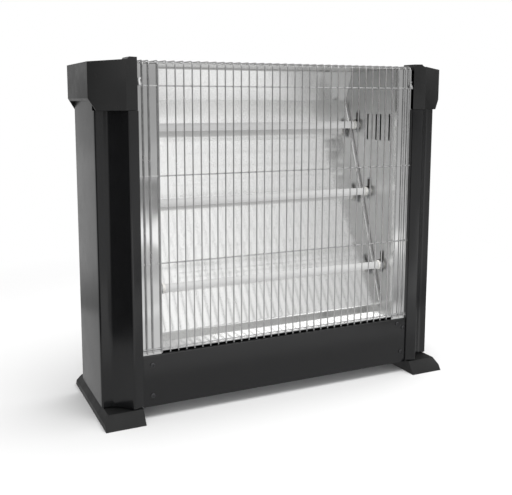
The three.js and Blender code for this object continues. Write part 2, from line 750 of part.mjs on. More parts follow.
function makeSidePanel() {
  const plan = sheetOutline(
    [
      point(cheekX(slantHead.x), slantHead.x),
      point(CAVITY_HALF, FLANGE_FRONT_Y),
      point(FLANGE_OUTER_X, FLANGE_FRONT_Y),
    ],
    THIN_SHEET,
  );
  const reflectorFace = beside(reflectorPath.slice(0, -1), CLEARANCE);
  const flangeBottom = PLATE_TOP_Z + CLEARANCE;
  const side = [
    point(FLANGE_FRONT_Y - OVERRUN, flangeBottom),
    point(FLANGE_FRONT_Y + THIN_SHEET, flangeBottom),
    point(FLANGE_FRONT_Y + THIN_SHEET, reflectorFace[0].y),
    ...reflectorFace.slice(1),
    point(FLANGE_FRONT_Y - OVERRUN, reflectorFace.at(-1).y),
  ];
  const cuts = [panelScrewHoles()];
  cuts.push(
    ...PANEL_SCREW_SHARES.map((screw) => {
      const centre = panelScrewPlace(screw);
      const mirrored = at(-centre.x, 0, centre.z);
      return screwBore("y", mirrored, -OVERRUN, FLANGE_FRONT_Y + OVERRUN);
    }),
  );
  const slotTop = reflectorInnerTop - SLOT_TOP_DROP;
  for (let i = 0; i < SLOT_COUNT; i++) {
    const y = FLANGE_FRONT_Y + SLOT_FRONT_MARGIN + i * SLOT_PITCH;
    cuts.push(
      block(
        CAVITY_HALF - CHEEK_BACK_INSET - OVERRUN,
        CAVITY_HALF + OVERRUN,
        y - SLOT_WIDTH / 2,
        y + SLOT_WIDTH / 2,
        slotTop - SLOT_HEIGHT,
        slotTop,
      ),
    );
  }
  for (const share of TUBE_SHARES) {
    const centre = tubeCentre(share);
    cuts.push(
      bar(
        "x",
        HOLDER_NECK_RADIUS + CLEARANCE,
        at(0, centre.x, centre.y),
        CAVITY_HALF - CHEEK_BACK_INSET - OVERRUN,
        CAVITY_HALF + OVERRUN,
      ),
    );
  }
  return prismAlongZ(plan, flangeBottom, reflectorInnerTop)
    .intersect(prismAlongX(side, CAVITY_HALF - CHEEK_BACK_INSET - OVERRUN, OPENING_HALF + OVERRUN))
    .subtract(joined(cuts));
}
placePair("reflector_side_panel", geometryOf(makeSidePanel()), brightSheet);

// Guard: upright wires bent back over the top, welded to cross wires
const guardHalf = FLANGE_OUTER_X - CLEARANCE;
const crossFrontY = WIRE / 2 - WIRE_WELD;
const firstRowZ = BODY_HEIGHT - GUARD_FIRST_ROW_DROP;
const lowRowZ = BASE_PANEL_TOP + GUARD_LOW_ROW_RISE;
const rowZ = [
  firstRowZ,
  firstRowZ - (firstRowZ - lowRowZ) / 3,
  lowRowZ + (firstRowZ - lowRowZ) / 3,
  lowRowZ,
  lowRowZ - GUARD_DOUBLE_ROW_GAP,
];
const guardBottomZ = lowRowZ - GUARD_DOUBLE_ROW_GAP - GUARD_STUB;

function uprightWire(x) {
  const bend = arc(
    point(GUARD_BEND_RADIUS - WIRE / 2, BODY_HEIGHT - GUARD_BEND_RADIUS),
    GUARD_BEND_RADIUS,
    Math.PI,
    Math.PI / 2,
    GUARD_BEND_STEPS,
  );
  const path = [point(-WIRE / 2, guardBottomZ), ...bend, point(GUARD_TOP_DEPTH, BODY_HEIGHT)];
  return prismAlongX(sheetOutline(path, -WIRE).reverse(), x - WIRE / 2, x + WIRE / 2);
}

function crossWire(y, z) {
  return block(-guardHalf, guardHalf, y, y + WIRE, z - WIRE / 2, z + WIRE / 2);
}

function guardColumns() {
  const columns = [];
  const pitch = (2 * CAVITY_HALF) / WIRE_GAPS;
  for (let i = 0; i <= WIRE_GAPS; i++) columns.push(i * pitch - CAVITY_HALF);
  for (const share of FLANGE_WIRE_SHARES) {
    const x = CAVITY_HALF + share * (OPENING_HALF - CAVITY_HALF);
    columns.push(x, -x);
  }
  return columns;
}

function makeGuard() {
  const uprights = guardColumns().map(uprightWire);
  const rows = rowZ.map((z) => crossWire(crossFrontY, z));
  const topZ = BODY_HEIGHT - WIRE - WIRE / 2 + WIRE_WELD;
  const topRow = crossWire(GUARD_TOP_DEPTH - 2 * WIRE, topZ);
  return joined([...uprights, ...rows, topRow]);
}
place("wire_guard", geometryOf(makeGuard()), wireChrome);

// Guard clips: bent tabs on the side flanges that hold the first cross wire
function makeGuardClip() {
  const wireFrontY = crossFrontY - CLEARANCE;
  const z = firstRowZ;
  const path = [
    point(wireFrontY, z - WIRE / 2),
    point(wireFrontY, z + WIRE / 2 + CLEARANCE + THIN_SHEET),
    point(FLANGE_FRONT_Y - CLEARANCE, z + GUARD_CLIP_RISE),
    point(FLANGE_FRONT_Y - CLEARANCE, z + GUARD_CLIP_RISE + GUARD_CLIP_FOOT),
  ];
  const lastWireX = CAVITY_HALF + FLANGE_WIRE_SHARES.at(-1) * (OPENING_HALF - CAVITY_HALF);
  const from = lastWireX + WIRE / 2 + CLEARANCE;
  const to = Math.min(from + GUARD_CLIP_WIDTH, guardHalf);
  const outline = sheetOutline(path, THIN_SHEET);
  return prismAlongX(outline, from, to);
}
placePair("guard_clip", geometryOf(makeGuardClip()), wireChrome);

// Quartz tubes, heating coils, ceramic holders and their clips. Axis of each lathe is turned to X.
function alongX(geometry, side) {
  geometry.rotateZ((-side * Math.PI) / 2);
  return geometry;
}

function tubeGeometry(half) {
  const ring = [
    point(TUBE_RADIUS, -half),
    point(TUBE_RADIUS, half),
    point(TUBE_RADIUS - TUBE_WALL, half),
    point(TUBE_RADIUS - TUBE_WALL, -half),
    point(TUBE_RADIUS, -half),
  ];
  return alongX(turned(ring), 1);
}

function coilGeometry(coilHalf, pinHalf) {
  const profile = [
    point(0, -pinHalf),
    point(PIN_RADIUS, -pinHalf),
    point(PIN_RADIUS, -coilHalf),
    point(COIL_RADIUS, -coilHalf),
    point(COIL_RADIUS, coilHalf),
    point(PIN_RADIUS, coilHalf),
    point(PIN_RADIUS, pinHalf),
    point(0, pinHalf),
  ];
  return alongX(turned(profile, SCREW_SIDES), 1);
}

// The holder's axis runs outwards: open mouth for the tube, shoulder, then a neck through the cheek.
function holderGeometry(side) {
  const mouth = -HOLDER_STAND_OFF - HOLDER_LENGTH;
  const ring = [
    point(TUBE_RADIUS + CLEARANCE, mouth),
    point(HOLDER_RADIUS, mouth),
    point(HOLDER_RADIUS, -HOLDER_STAND_OFF),
    point(HOLDER_NECK_RADIUS, -HOLDER_STAND_OFF),
    point(HOLDER_NECK_RADIUS, HOLDER_NECK_LENGTH),
    point(PIN_RADIUS + CLEARANCE, HOLDER_NECK_LENGTH),
    point(PIN_RADIUS + CLEARANCE, mouth + TUBE_SEAT),
    point(TUBE_RADIUS + CLEARANCE, mouth + TUBE_SEAT),
    point(TUBE_RADIUS + CLEARANCE, mouth),
  ];
  return alongX(turned(ring), side);
}

function clipSolid() {
  const inner = HOLDER_RADIUS + CLEARANCE;
  const bandEnd = -HOLDER_STAND_OFF - CLEARANCE;
  const centre = at(0, 0, 0);
  const band = bar("x", inner + CLIP_BAND, centre, bandEnd - CLIP_BAND_LENGTH, bandEnd);
  const bore = bar(
    "x",
    inner,
    centre,
    bandEnd - CLIP_BAND_LENGTH - OVERRUN,
    bandEnd + CLIP_LUG_THICKNESS + OVERRUN,
  );
  const lugTo = -CLIP_LUG_STAND_OFF;
  const lugFrom = bandEnd - CLIP_LUG_THICKNESS / 2;
  const lug = block(
    lugFrom,
    lugTo,
    -CLIP_LUG_WIDTH / 2,
    CLIP_LUG_WIDTH / 2,
    -CLIP_TAIL_HEIGHT,
    CLIP_LUG_HEIGHT,
  );
  return band.add(lug).subtract(bore);
}

const clipGeometry = geometryOf(clipSolid());
TUBE_LEVELS.forEach((level, i) => {
  const centre = tubeCentre(TUBE_SHARES[i]);
  const cheek = cheekX(centre.x);
  const seat = cheek - HOLDER_STAND_OFF - HOLDER_LENGTH + TUBE_SEAT;
  const middle = at(0, centre.x, centre.y);
  const tubeHalf = seat - CLEARANCE;
  const pinHalf = cheek + HOLDER_NECK_LENGTH + PIN_REACH;
  place(`quartz_tube_${level}`, tubeGeometry(tubeHalf), quartz, middle);
  place(
    `heating_coil_${level}`,
    coilGeometry(tubeHalf - COIL_END_GAP, pinHalf),
    coilAlloy,
    middle,
  );
  for (const [sideName, side] of [["right", 1], ["left", -1]]) {
    const end = at(side * cheek, centre.x, centre.y);
    place(`ceramic_holder_${level}_${sideName}`, holderGeometry(side), ceramic, end);
    const clip = place(`tube_clip_${level}_${sideName}`, clipGeometry, darkSteel, end);
    clip.scale.x = side;
  }
});

// Rear cover: back and top in one bent sheet, wider behind the posts, with rows of vent slots
function coverSlots(row) {
  const cuts = [];
  for (let i = 0; i < COVER_SLOT_COUNT; i++) {
    const x = (i - (COVER_SLOT_COUNT - 1) / 2) * COVER_SLOT_PITCH;
    cuts.push(row(x - COVER_SLOT_WIDTH / 2, x + COVER_SLOT_WIDTH / 2));
  }
  return joined(cuts);
}

const glandZ = PLATE_TOP_Z + GLAND_RISE;

function makeRearCover() {
  const backY = COVER_FRONT_Y + SHEET;
  const section = [
    point(COVER_FRONT_Y, PLATE_BOTTOM_Z),
    point(backY, PLATE_BOTTOM_Z),
    point(backY, COVER_TOP_Z),
    point(COVER_TOP_FRONT, COVER_TOP_Z),
    point(COVER_TOP_FRONT, COVER_TOP_Z - SHEET),
    point(COVER_FRONT_Y, COVER_TOP_Z - SHEET),
  ];
  const wideHalf = OPENING_HALF + COVER_SIDE_LAP;
  const wide = block(
    -wideHalf,
    wideHalf,
    COVER_FRONT_Y,
    backY,
    PLATE_BOTTOM_Z,
    CAP_BOTTOM_Z - CLEARANCE,
  );
  const backCut = [COVER_FRONT_Y - OVERRUN, backY + OVERRUN];
  const lowZ = BASE_PANEL_TOP;
  const highZ = CAP_BOTTOM_Z;
  const topMiddle = (COVER_TOP_FRONT + COVER_FRONT_Y) / 2;
  const cuts = [
    coverSlots((x0, x1) => block(x0, x1, ...backCut, lowZ, lowZ + COVER_SLOT_LENGTH)),
    coverSlots((x0, x1) => block(x0, x1, ...backCut, highZ - COVER_SLOT_LENGTH, highZ)),
    coverSlots((x0, x1) =>
      block(
        x0,
        x1,
        topMiddle - COVER_SLOT_LENGTH / 2,
        topMiddle + COVER_SLOT_LENGTH / 2,
        COVER_TOP_Z - OVERRUN,
        COVER_TOP_Z + OVERRUN,
      ),
    ),
    bar("y", GLAND_NECK_RADIUS + CLEARANCE, at(GLAND_PLACE_X, 0, glandZ), ...backCut),
  ];
  for (const side of [-1, 1]) {
    for (const z of coverScrewZ) {
      cuts.push(screwBore("y", at(side * coverScrewX, 0, z), ...backCut));
    }
  }
  return prismAlongX(section, -FLANGE_OUTER_X, FLANGE_OUTER_X).add(wide).subtract(joined(cuts));
}
place("rear_cover", geometryOf(makeRearCover()), blackSteel);

// Cord gland: a snap bush with a flange on each side of the rear cover
function glandGeometry() {
  const inside = -SHEET - GLAND_GROOVE - GLAND_FLANGE;
  const outside = GLAND_GROOVE + GLAND_FLANGE;
  const lip = (GLAND_NECK_RADIUS + GLAND_FLANGE_RADIUS) / 2;
  const ring = [
    point(GLAND_BORE_RADIUS, inside),
    point(lip, inside),
    point(lip, -SHEET - GLAND_GROOVE),
    point(GLAND_NECK_RADIUS, -SHEET - GLAND_GROOVE),
    point(GLAND_NECK_RADIUS, GLAND_GROOVE),
    point(GLAND_FLANGE_RADIUS, GLAND_GROOVE),
    point(GLAND_FLANGE_RADIUS, outside),
    point(GLAND_BORE_RADIUS, outside),
    point(GLAND_BORE_RADIUS, inside),
  ];
  return turned(ring);
}
place(
  "cord_gland",
  glandGeometry(),
  blackPlastic,
  at(GLAND_PLACE_X, COVER_FRONT_Y + SHEET, glandZ),
);

// Rocker switches. Each housing's own origin is the middle of the bezel's back, facing +X.
const pocketHalf = point(
  SWITCH_BODY_WIDTH / 2 - SWITCH_WALL,
  SWITCH_BODY_HEIGHT / 2 - SWITCH_WALL,
);
const rockerAxisX = BEZEL_THICKNESS - ROCKER_AXIS_DEPTH;

function switchHousing() {
  const bezel = block(
    0,
    BEZEL_THICKNESS,
    -BEZEL_WIDTH / 2,
    BEZEL_WIDTH / 2,
    -BEZEL_HEIGHT / 2,
    BEZEL_HEIGHT / 2,
  );
  const core = block(
    -SWITCH_BODY_DEPTH,
    BEZEL_THICKNESS,
    -SWITCH_BODY_WIDTH / 2,
    SWITCH_BODY_WIDTH / 2,
    -SWITCH_BODY_HEIGHT / 2,
    SWITCH_BODY_HEIGHT / 2,
  );
  const pocket = block(
    BEZEL_THICKNESS - SWITCH_POCKET_DEPTH - SWITCH_WALL,
    BEZEL_THICKNESS + OVERRUN,
    -pocketHalf.x,
    pocketHalf.x,
    -pocketHalf.y,
    pocketHalf.y,
  );
  const pinBore = bar(
    "y",
    ROCKER_PIN_RADIUS + CLEARANCE,
    at(rockerAxisX, 0, 0),
    -SWITCH_BODY_WIDTH / 2 - OVERRUN,
    SWITCH_BODY_WIDTH / 2 + OVERRUN,
    SCREW_SIDES,
  );
  const blades = [-1, 1].map((end) => {
    const z = (end * SWITCH_BODY_HEIGHT) / 4;
    return block(
      -SWITCH_BODY_DEPTH - SWITCH_BLADE_LENGTH,
      -SWITCH_BODY_DEPTH + SWITCH_WALL,
      -SWITCH_BLADE_WIDTH / 2,
      SWITCH_BLADE_WIDTH / 2,
      z - SWITCH_BLADE_THICKNESS / 2,
      z + SWITCH_BLADE_THICKNESS / 2,
    );
  });
  return joined([bezel, core, ...blades]).subtract(pocket.add(pinBore));
}

// The rocker turns about its pin, which is its own origin.
function rockerSolid() {
  const halfWidth = pocketHalf.x - CLEARANCE;
  const sweep = pocketHalf.y - CLEARANCE;
  const frontAngle = Math.acos((ROCKER_AXIS_DEPTH + ROCKER_CREST) / sweep);
  const middle = point(0, 0);
  const side = [
    point(ROCKER_AXIS_DEPTH + ROCKER_VALLEY, 0),
    ...arc(middle, sweep, frontAngle, ROCKER_BACK_ANGLE, ROCKER_ARC_STEPS),
    ...arc(middle, sweep, -ROCKER_BACK_ANGLE, -frontAngle, ROCKER_ARC_STEPS),
  ];
  const pins = bar(
    "y",
    ROCKER_PIN_RADIUS,
    at(0, 0, 0),
    -SWITCH_BODY_WIDTH / 2 + CLEARANCE,
    SWITCH_BODY_WIDTH / 2 - CLEARANCE,
    SCREW_SIDES,
  );
  return prismAlongY(side, -halfWidth, halfWidth).add(pins);
}

const housingGeometry = geometryOf(switchHousing());
const rockerGeometry = geometryOf(rockerSolid());
for (let i = 0; i < SWITCH_COUNT; i++) {
  const seat = at(switchX + CLEARANCE, switchY, switchZ(i));
  place(`switch_housing_${i + 1}`, housingGeometry, blackPlastic, seat);
  const pin = seat.clone().add(at(rockerAxisX, 0, 0));
  place(`switch_rocker_${i + 1}`, rockerGeometry, blackPlastic, pin).rotation.y = ROCKER_TILT;
}

// Tip-over switch: a plunger stands on the floor and drops when the heater is lifted or falls
const tipFloorZ = PLATE_TOP_Z + CLEARANCE;
const tipChamberZ = tipFloorZ + TIP_CHAMBER_FLOOR;
const tipCollarZ = tipChamberZ + CLEARANCE + TIP_TRAVEL;
const tipChamberTopZ = tipCollarZ + TIP_COLLAR_HEIGHT + CLEARANCE;
const tipStemTopZ = tipChamberTopZ + TIP_STEM_TAIL;

function tipSwitchBody() {
  const half = TIP_BODY_WIDTH / 2;
  const centre = at(0, 0, 0);
  const shell = block(-half, half, -half, half, tipFloorZ, tipFloorZ + TIP_BODY_HEIGHT);
  const bore = bar(
    "z",
    TIP_STEM_RADIUS + CLEARANCE,
    centre,
    tipFloorZ - OVERRUN,
    tipStemTopZ + CLEARANCE,
  );
  const chamber = bar(
    "z",
    TIP_COLLAR_RADIUS + CLEARANCE,
    centre,
    tipChamberZ,
    tipChamberTopZ,
  );
  return shell.subtract(bore.add(chamber));
}

function plungerGeometry() {
  return turned([
    point(0, 0),
    point(TIP_PAD_RADIUS, 0),
    point(TIP_PAD_RADIUS, TIP_PAD_HEIGHT),
    point(TIP_STEM_RADIUS, TIP_PAD_HEIGHT),
    point(TIP_STEM_RADIUS, tipCollarZ),
    point(TIP_COLLAR_RADIUS, tipCollarZ),
    point(TIP_COLLAR_RADIUS, tipCollarZ + TIP_COLLAR_HEIGHT),
    point(TIP_STEM_RADIUS, tipCollarZ + TIP_COLLAR_HEIGHT),
    point(TIP_STEM_RADIUS, tipStemTopZ),
    point(0, tipStemTopZ),
  ]).rotateX(Math.PI / 2);
}
const tipPlace = at(TIP_PLACE_X, TIP_PLACE_DEPTH, 0);
place("tip_switch_body", geometryOf(tipSwitchBody()), insulator, tipPlace);
place("tip_switch_plunger", plungerGeometry(), blackPlastic, tipPlace);

// Terminal block on the floor plate
function terminalSolid() {
  const shell = block(
    0,
    TERMINAL_LENGTH,
    -TERMINAL_WIDTH / 2,
    TERMINAL_WIDTH / 2,
    0,
    TERMINAL_HEIGHT,
  );
  const cuts = [];
  for (let i = 0; i < TERMINAL_WAYS; i++) {
    const x = (TERMINAL_LENGTH * (i + 1)) / (TERMINAL_WAYS + 1);
    const wayZ = TERMINAL_HEIGHT / 2;
    cuts.push(
      bar(
        "y",
        TERMINAL_BORE_RADIUS,
        at(x, 0, wayZ),
        -TERMINAL_WIDTH / 2 - OVERRUN,
        TERMINAL_WIDTH / 2 + OVERRUN,
        SCREW_SIDES,
      ),
      bar("z", TERMINAL_BORE_RADIUS, at(x, 0, 0), wayZ, TERMINAL_HEIGHT + OVERRUN, SCREW_SIDES),
    );
  }
  return shell.subtract(joined(cuts));
}
place(
  "terminal_block",
  geometryOf(terminalSolid()),
  insulator,
  at(TERMINAL_PLACE_X, TERMINAL_DEPTH_PLACE, PLATE_TOP_Z + CLEARANCE),
);

// Thermal cut-out: a disc on a tab behind the slanted reflector
function cutOutSolid() {
  const tab = block(
    -CUTOUT_TAB_LENGTH / 2,
    CUTOUT_TAB_LENGTH / 2,
    0,
    CUTOUT_TAB_THICKNESS,
    -CUTOUT_TAB_WIDTH / 2,
    CUTOUT_TAB_WIDTH / 2,
  );
  return tab.add(bar("y", CUTOUT_RADIUS, at(0, 0, 0), 0, CUTOUT_HEIGHT));
}
const cutOutSeat = onSlant(CUTOUT_SHARE, -THIN_SHEET - CLEARANCE);
const cutOut = place(
  "thermal_cutout",
  geometryOf(cutOutSolid()),
  insulator,
  at(CUTOUT_PLACE_X, cutOutSeat.x, cutOutSeat.y),
);
cutOut.rotation.x = -Math.atan2(slant.x, slant.y);

// Wiring loom from the terminal block, through the post's inner wall, up to the switches
function loomGeometry() {
  const start = at(
    TERMINAL_PLACE_X + TERMINAL_LENGTH + 2 * CLEARANCE,
    loomY,
    PLATE_TOP_Z + TERMINAL_HEIGHT / 2 + CLEARANCE,
  );
  const postMiddle = (OPENING_HALF + POST_OUTER_X) / 2;
  const riseX = postMiddle - POST_WIDTH / 10;
  const top = switchZ(0);
  const route = new THREE.CatmullRomCurve3([
    start,
    at(start.x + 2 * LOOM_RADIUS, loomY, start.z),
    at((start.x + OPENING_HALF) / 2, loomY, (start.z + loomGateZ) / 2),
    at(OPENING_HALF, loomY, loomGateZ),
    at((OPENING_HALF + riseX) / 2, loomY, loomGateZ + OVERRUN),
    at(riseX, (loomY + switchY) / 2, loomGateZ + SWITCH_PITCH),
    at(riseX, switchY, (loomGateZ + top) / 2),
    at(riseX, switchY, top),
  ]);
  const section = new THREE.Shape(
    Array.from({ length: LOOM_SIDES }, (_, i) => {
      const angle = (2 * Math.PI * i) / LOOM_SIDES;
      return point(LOOM_RADIUS * Math.cos(angle), LOOM_RADIUS * Math.sin(angle));
    }),
  );
  return new THREE.ExtrudeGeometry(section, {
    steps: LOOM_STEPS,
    extrudePath: route,
    bevelEnabled: false,
  });
}
place("wiring_loom", geometryOf(solidOf(loomGeometry())), loomRubber);

// Screws: the head's seat is the origin, the head points along +Y and the shank along -Y
function screwGeometry(length) {
  const crown = SCREW_HEAD_RADIUS * SCREW_CROWN_SHARE;
  const plain = solidOf(
    turned(
      [
        point(0, -length),
        point(SCREW_RADIUS, -length),
        point(SCREW_RADIUS, 0),
        point(SCREW_HEAD_RADIUS, 0),
        point(SCREW_HEAD_RADIUS, SCREW_HEAD_HEIGHT / 2),
        point(crown, SCREW_HEAD_HEIGHT),
        point(0, SCREW_HEAD_HEIGHT),
      ],
      SCREW_SIDES,
    ),
  );
  const reach = crown * SCREW_CROWN_SHARE * 2;
  const slotFloor = SCREW_HEAD_HEIGHT - SCREW_SLOT_DEPTH;
  const cross = [
    [reach, SCREW_SLOT_WIDTH],
    [SCREW_SLOT_WIDTH, reach],
  ].map(([wide, tall]) =>
    block(-wide / 2, wide / 2, slotFloor, SCREW_HEAD_HEIGHT + OVERRUN, -tall / 2, tall / 2),
  );
  return geometryOf(plain.subtract(joined(cross)));
}

const screw = screwGeometry(SCREW_LENGTH);
const footScrew = screwGeometry(FOOT_SCREW_LENGTH);

PANEL_SCREW_NAMES.forEach((name, i) => {
  const seat = panelScrewPlace(PANEL_SCREW_SHARES[i]);
  seat.y -= CLEARANCE / 2;
  place(`panel_screw_${name}`, screw, zincSteel, seat).rotation.z = Math.PI;
});
for (const [sideName, side] of [["right", 1], ["left", -1]]) {
  coverScrewZ.forEach((z, i) => {
    const seat = at(side * coverScrewX, COVER_FRONT_Y + SHEET + CLEARANCE / 2, z);
    place(`cover_screw_${sideName}_${["lower", "upper"][i]}`, screw, zincSteel, seat);
  });
  const capSeat = at(side * capScrewX, CAP_BACK_Y + CLEARANCE / 2, capScrewZ);
  place(`cap_screw_${sideName}`, screw, zincSteel, capSeat);
  footScrewY.forEach((y, i) => {
    const seat = at(side * footScrewX, y, footBossZ - CLEARANCE / 2);
    const name = `foot_screw_${sideName}_${["front", "back"][i]}`;
    place(name, footScrew, zincSteel, seat).rotation.x = -Math.PI / 2;
  });
}

export default heater;
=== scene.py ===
"""Quartz radiant heater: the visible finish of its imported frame, laid out as an add-on."""
import math
from collections import namedtuple

import bmesh
import bpy
import numpy as np
from bpy.props import FloatProperty, FloatVectorProperty, IntProperty, PointerProperty
from mathutils import Matrix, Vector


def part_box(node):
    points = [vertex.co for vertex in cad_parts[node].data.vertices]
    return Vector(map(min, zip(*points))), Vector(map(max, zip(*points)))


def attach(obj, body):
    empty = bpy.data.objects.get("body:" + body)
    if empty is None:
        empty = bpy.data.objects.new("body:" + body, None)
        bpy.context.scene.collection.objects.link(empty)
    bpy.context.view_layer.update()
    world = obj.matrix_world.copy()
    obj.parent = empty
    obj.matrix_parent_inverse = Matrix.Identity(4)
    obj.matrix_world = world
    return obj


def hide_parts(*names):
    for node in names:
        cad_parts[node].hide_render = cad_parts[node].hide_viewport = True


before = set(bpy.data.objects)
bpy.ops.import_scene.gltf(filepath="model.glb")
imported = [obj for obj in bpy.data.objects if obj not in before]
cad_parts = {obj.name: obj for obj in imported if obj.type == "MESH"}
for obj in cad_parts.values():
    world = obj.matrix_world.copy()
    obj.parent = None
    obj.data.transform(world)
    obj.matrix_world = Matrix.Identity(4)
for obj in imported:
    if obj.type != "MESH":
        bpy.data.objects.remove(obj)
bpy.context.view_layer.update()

bl_info = {
    "name": "Quartz radiant heater",
    "version": (1, 0, 0),
    "blender": (4, 5, 0),
    "location": "3D View > Sidebar > Heater",
    "description": "Builds the visible pieces, finishes and studio of a three-tube radiant heater",
    "category": "Object",
}

MM = 0.001
SIDES = {"right": 1, "left": -1}
LEVELS = ("top", "middle", "bottom")
SWITCHES = (1, 2, 3)
BODY = "heater"
X_AXIS = np.array([1.0, 0.0, 0.0])
Z_AXIS = np.array([0.0, 0.0, 1.0])
WHITE = (1.0, 1.0, 1.0)

# Distance under which two points are one, in new meshes and in copies of CAD nodes
SAME_POINT = 1e-7
SAME_CAD_POINT = 2e-6
# Digits that tell two places apart, and how near to a face counts as on it
DIGITS = 7
NEAR = 0.1 * MM
# Degrees over which an edge stays sharp in the shading of each kind of piece
FLAT_EDGE = 5.0
SHEET_EDGE = 24.0
TURNED_EDGE = 40.0
CURVED_EDGE = 50.0
WIRE_EDGE = 60.0
NO_EDGE = 180.0
# Turn over which a bevel rounds an edge, and under which two faces are one flat face
ROUNDED_TURN = math.radians(28)
FLAT_TURN = math.radians(1)
# Sockets of a Mix node that mixes colours: its share, its two colours and its result
MIX_SHARE, MIX_FIRST, MIX_SECOND, MIX_RESULT = 0, 6, 7, 2


def length(name, description, default, low=0.0):
    """A size in metres, given here in millimetres."""
    return FloatProperty(
        name=name,
        description=description,
        default=default * MM,
        min=low * MM,
        unit="LENGTH",
        subtype="DISTANCE",
    )


def paint_colour(name, description, *default):
    """A colour in linear red, green and blue."""
    return FloatVectorProperty(
        name=name,
        description=description,
        default=default,
        min=0.0,
        max=1.0,
        size=3,
        subtype="COLOR",
    )


class HeaterSizes(bpy.types.PropertyGroup):
    """Sizes of the visible pieces."""

    sheet: length("Painted sheet", "Thickness of the painted steel sheet", 1.2, 0.4)
    bright_sheet: length("Bright sheet", "Thickness of the reflector sheet", 1.0, 0.3)
    post_bend: length("Post bend", "Outer radius of the bends of the posts", 1.8, 0.2)
    cover_bend: length("Cover bend", "Outer radius of the bend of the rear cover", 4.0, 0.5)
    panel_bend: length("Panel bend", "Outer radius of the base panel's top bend", 2.2, 0.3)
    reflector_bend: length("Reflector bend", "Radius of the bends of the reflector", 3.5, 0.5)
    rib_height: length("Rib height", "How far the pressed ribs stand out", 0.32, 0.1)
    rib_width: length("Rib width", "Width of a pressed rib", 6.5, 1.0)
    sheet_wave: length("Sheet wave", "Depth of the slight waves in the reflector", 0.06, 0.0)
    wire_radius: length("Guard wire", "Radius of the guard wires", 1.0, 0.3)
    weld_radius: length("Weld spot", "Radius of the weld spots of the guard", 1.25, 0.3)
    guard_bend: length("Guard bend", "Radius of the guard wires' bend over the top", 6.0, 1.5)
    coil_wire: length("Coil wire", "Radius of the heating wire", 0.42, 0.1)
    coil_pitch: length("Coil pitch", "Distance between two turns of the heating wire", 2.6, 1.0)
    cap_round: length("Cap edge", "Rounding of the grip caps' edges", 1.3, 0.1)
    foot_round: length("Foot edge", "Rounding of the feet's edges", 1.1, 0.1)
    small_round: length("Small edge", "Rounding of small pieces' edges", 0.4, 0.05)
    strip_round: length("Strip edge", "Rounding of thin strips' edges", 0.2, 0.02)
    screw_recess: length("Screw recess", "Depth of the cross recess in a screw head", 1.1, 0.2)
    round_sides: IntProperty(
        name="Round sides",
        description="Number of sides of turned pieces",
        default=48,
        min=12,
        max=96,
    )


class HeaterColours(bpy.types.PropertyGroup):
    """Colours of the finishes."""

    paint: paint_colour("Paint", "Black gloss paint on the steel sheet", 0.0045, 0.0046, 0.005)
    cap: paint_colour("Cap plastic", "Satin plastic of the grip caps", 0.012, 0.0121, 0.0121)
    foot: paint_colour("Foot plastic", "Satin plastic of the feet", 0.005, 0.0051, 0.0051)
    bright: paint_colour("Bright sheet", "Polished reflector sheet", 0.86, 0.86, 0.855)
    side: paint_colour("Side sheet", "Plated sheet of the side panels", 0.85, 0.85, 0.847)
    chrome: paint_colour("Guard wire", "Chromed guard wire", 0.7, 0.7, 0.7)
    zinc: paint_colour("Zinc", "Zinc coated steel", 0.5, 0.51, 0.52)
    screw: paint_colour("Screw", "Blackened screw steel", 0.12, 0.12, 0.125)
    quartz: paint_colour("Quartz", "Milky quartz glass", 0.27, 0.27, 0.266)
    ceramic: paint_colour("Ceramic", "White ceramic holder", 0.8, 0.79, 0.76)
    coil: paint_colour("Coil", "Heating wire alloy", 0.3, 0.28, 0.26)
    clip: paint_colour("Clip", "Dark spring steel", 0.055, 0.052, 0.05)
    switch: paint_colour("Switch", "Switch plastic", 0.012, 0.012, 0.0125)
    insulator: paint_colour("Insulator", "Pale insulating resin", 0.42, 0.38, 0.3)
    rubber: paint_colour("Rubber", "Loom sleeve", 0.02, 0.02, 0.021)


class HeaterStudio(bpy.types.PropertyGroup):
    """Light levels of the studio."""

    room: FloatProperty(
        name="Room", description="Level of the soft light from above", default=0.5, min=0.0
    )
    mirrored_room: FloatProperty(
        name="Mirrored room", description="Level of the room in reflections", default=0.47, min=0.0
    )
    softbox: FloatProperty(
        name="Softbox", description="Added level of the softbox in front", default=0.68, min=0.0
    )
    ceiling: FloatProperty(
        name="Ceiling", description="Added level overhead in reflections", default=1.4, min=0.0
    )
    top: FloatProperty(
        name="Top lamp",
        description="Power of the soft lamp overhead",
        default=100.0,
        min=0.0,
        unit="POWER",
    )
    # Front floor, near floor, far floor and pool are levels of a glow painted on the floor that
    # only reflections see: painted shade close by and painted pools of light
    front_floor: FloatProperty(
        name="Front floor",
        description="Shade of the floor close in front as the finishes mirror it",
        default=0.42,
        min=0.0,
        max=1.0,
    )
    near_floor: FloatProperty(
        name="Near floor",
        description="Shade of the floor close beside and behind as the finishes mirror it",
        default=0.42,
        min=0.0,
        max=1.0,
    )
    far_floor: FloatProperty(
        name="Far floor",
        description="Shade of the floor further off as the finishes mirror it",
        default=0.5,
        min=0.0,
        max=1.0,
    )
    pool: FloatProperty(
        name="Pool",
        description="Shade of the brightly lit floor in front as the finishes mirror it",
        default=1.15,
        min=0.0,
    )
    front_light: FloatProperty(
        name="Front light",
        description="Level of the soft light from the front",
        default=1.3,
        min=0.0,
    )


# Shader graphs


class Socket:
    """The output of a shader node. Arithmetic on it adds Math nodes to the same tree."""

    def __init__(self, graph, link):
        self.graph = graph
        self.link = link

    def math(self, operation, first, second):
        return self.graph.node("ShaderNodeMath", {"operation": operation}, {0: first, 1: second})

    def __add__(self, other):
        return self.math("ADD", self, other)

    __radd__ = __add__

    def __mul__(self, other):
        return self.math("MULTIPLY", self, other)

    __rmul__ = __mul__

    def __sub__(self, other):
        return self.math("SUBTRACT", self, other)

    def __rsub__(self, other):
        return self.math("SUBTRACT", other, self)


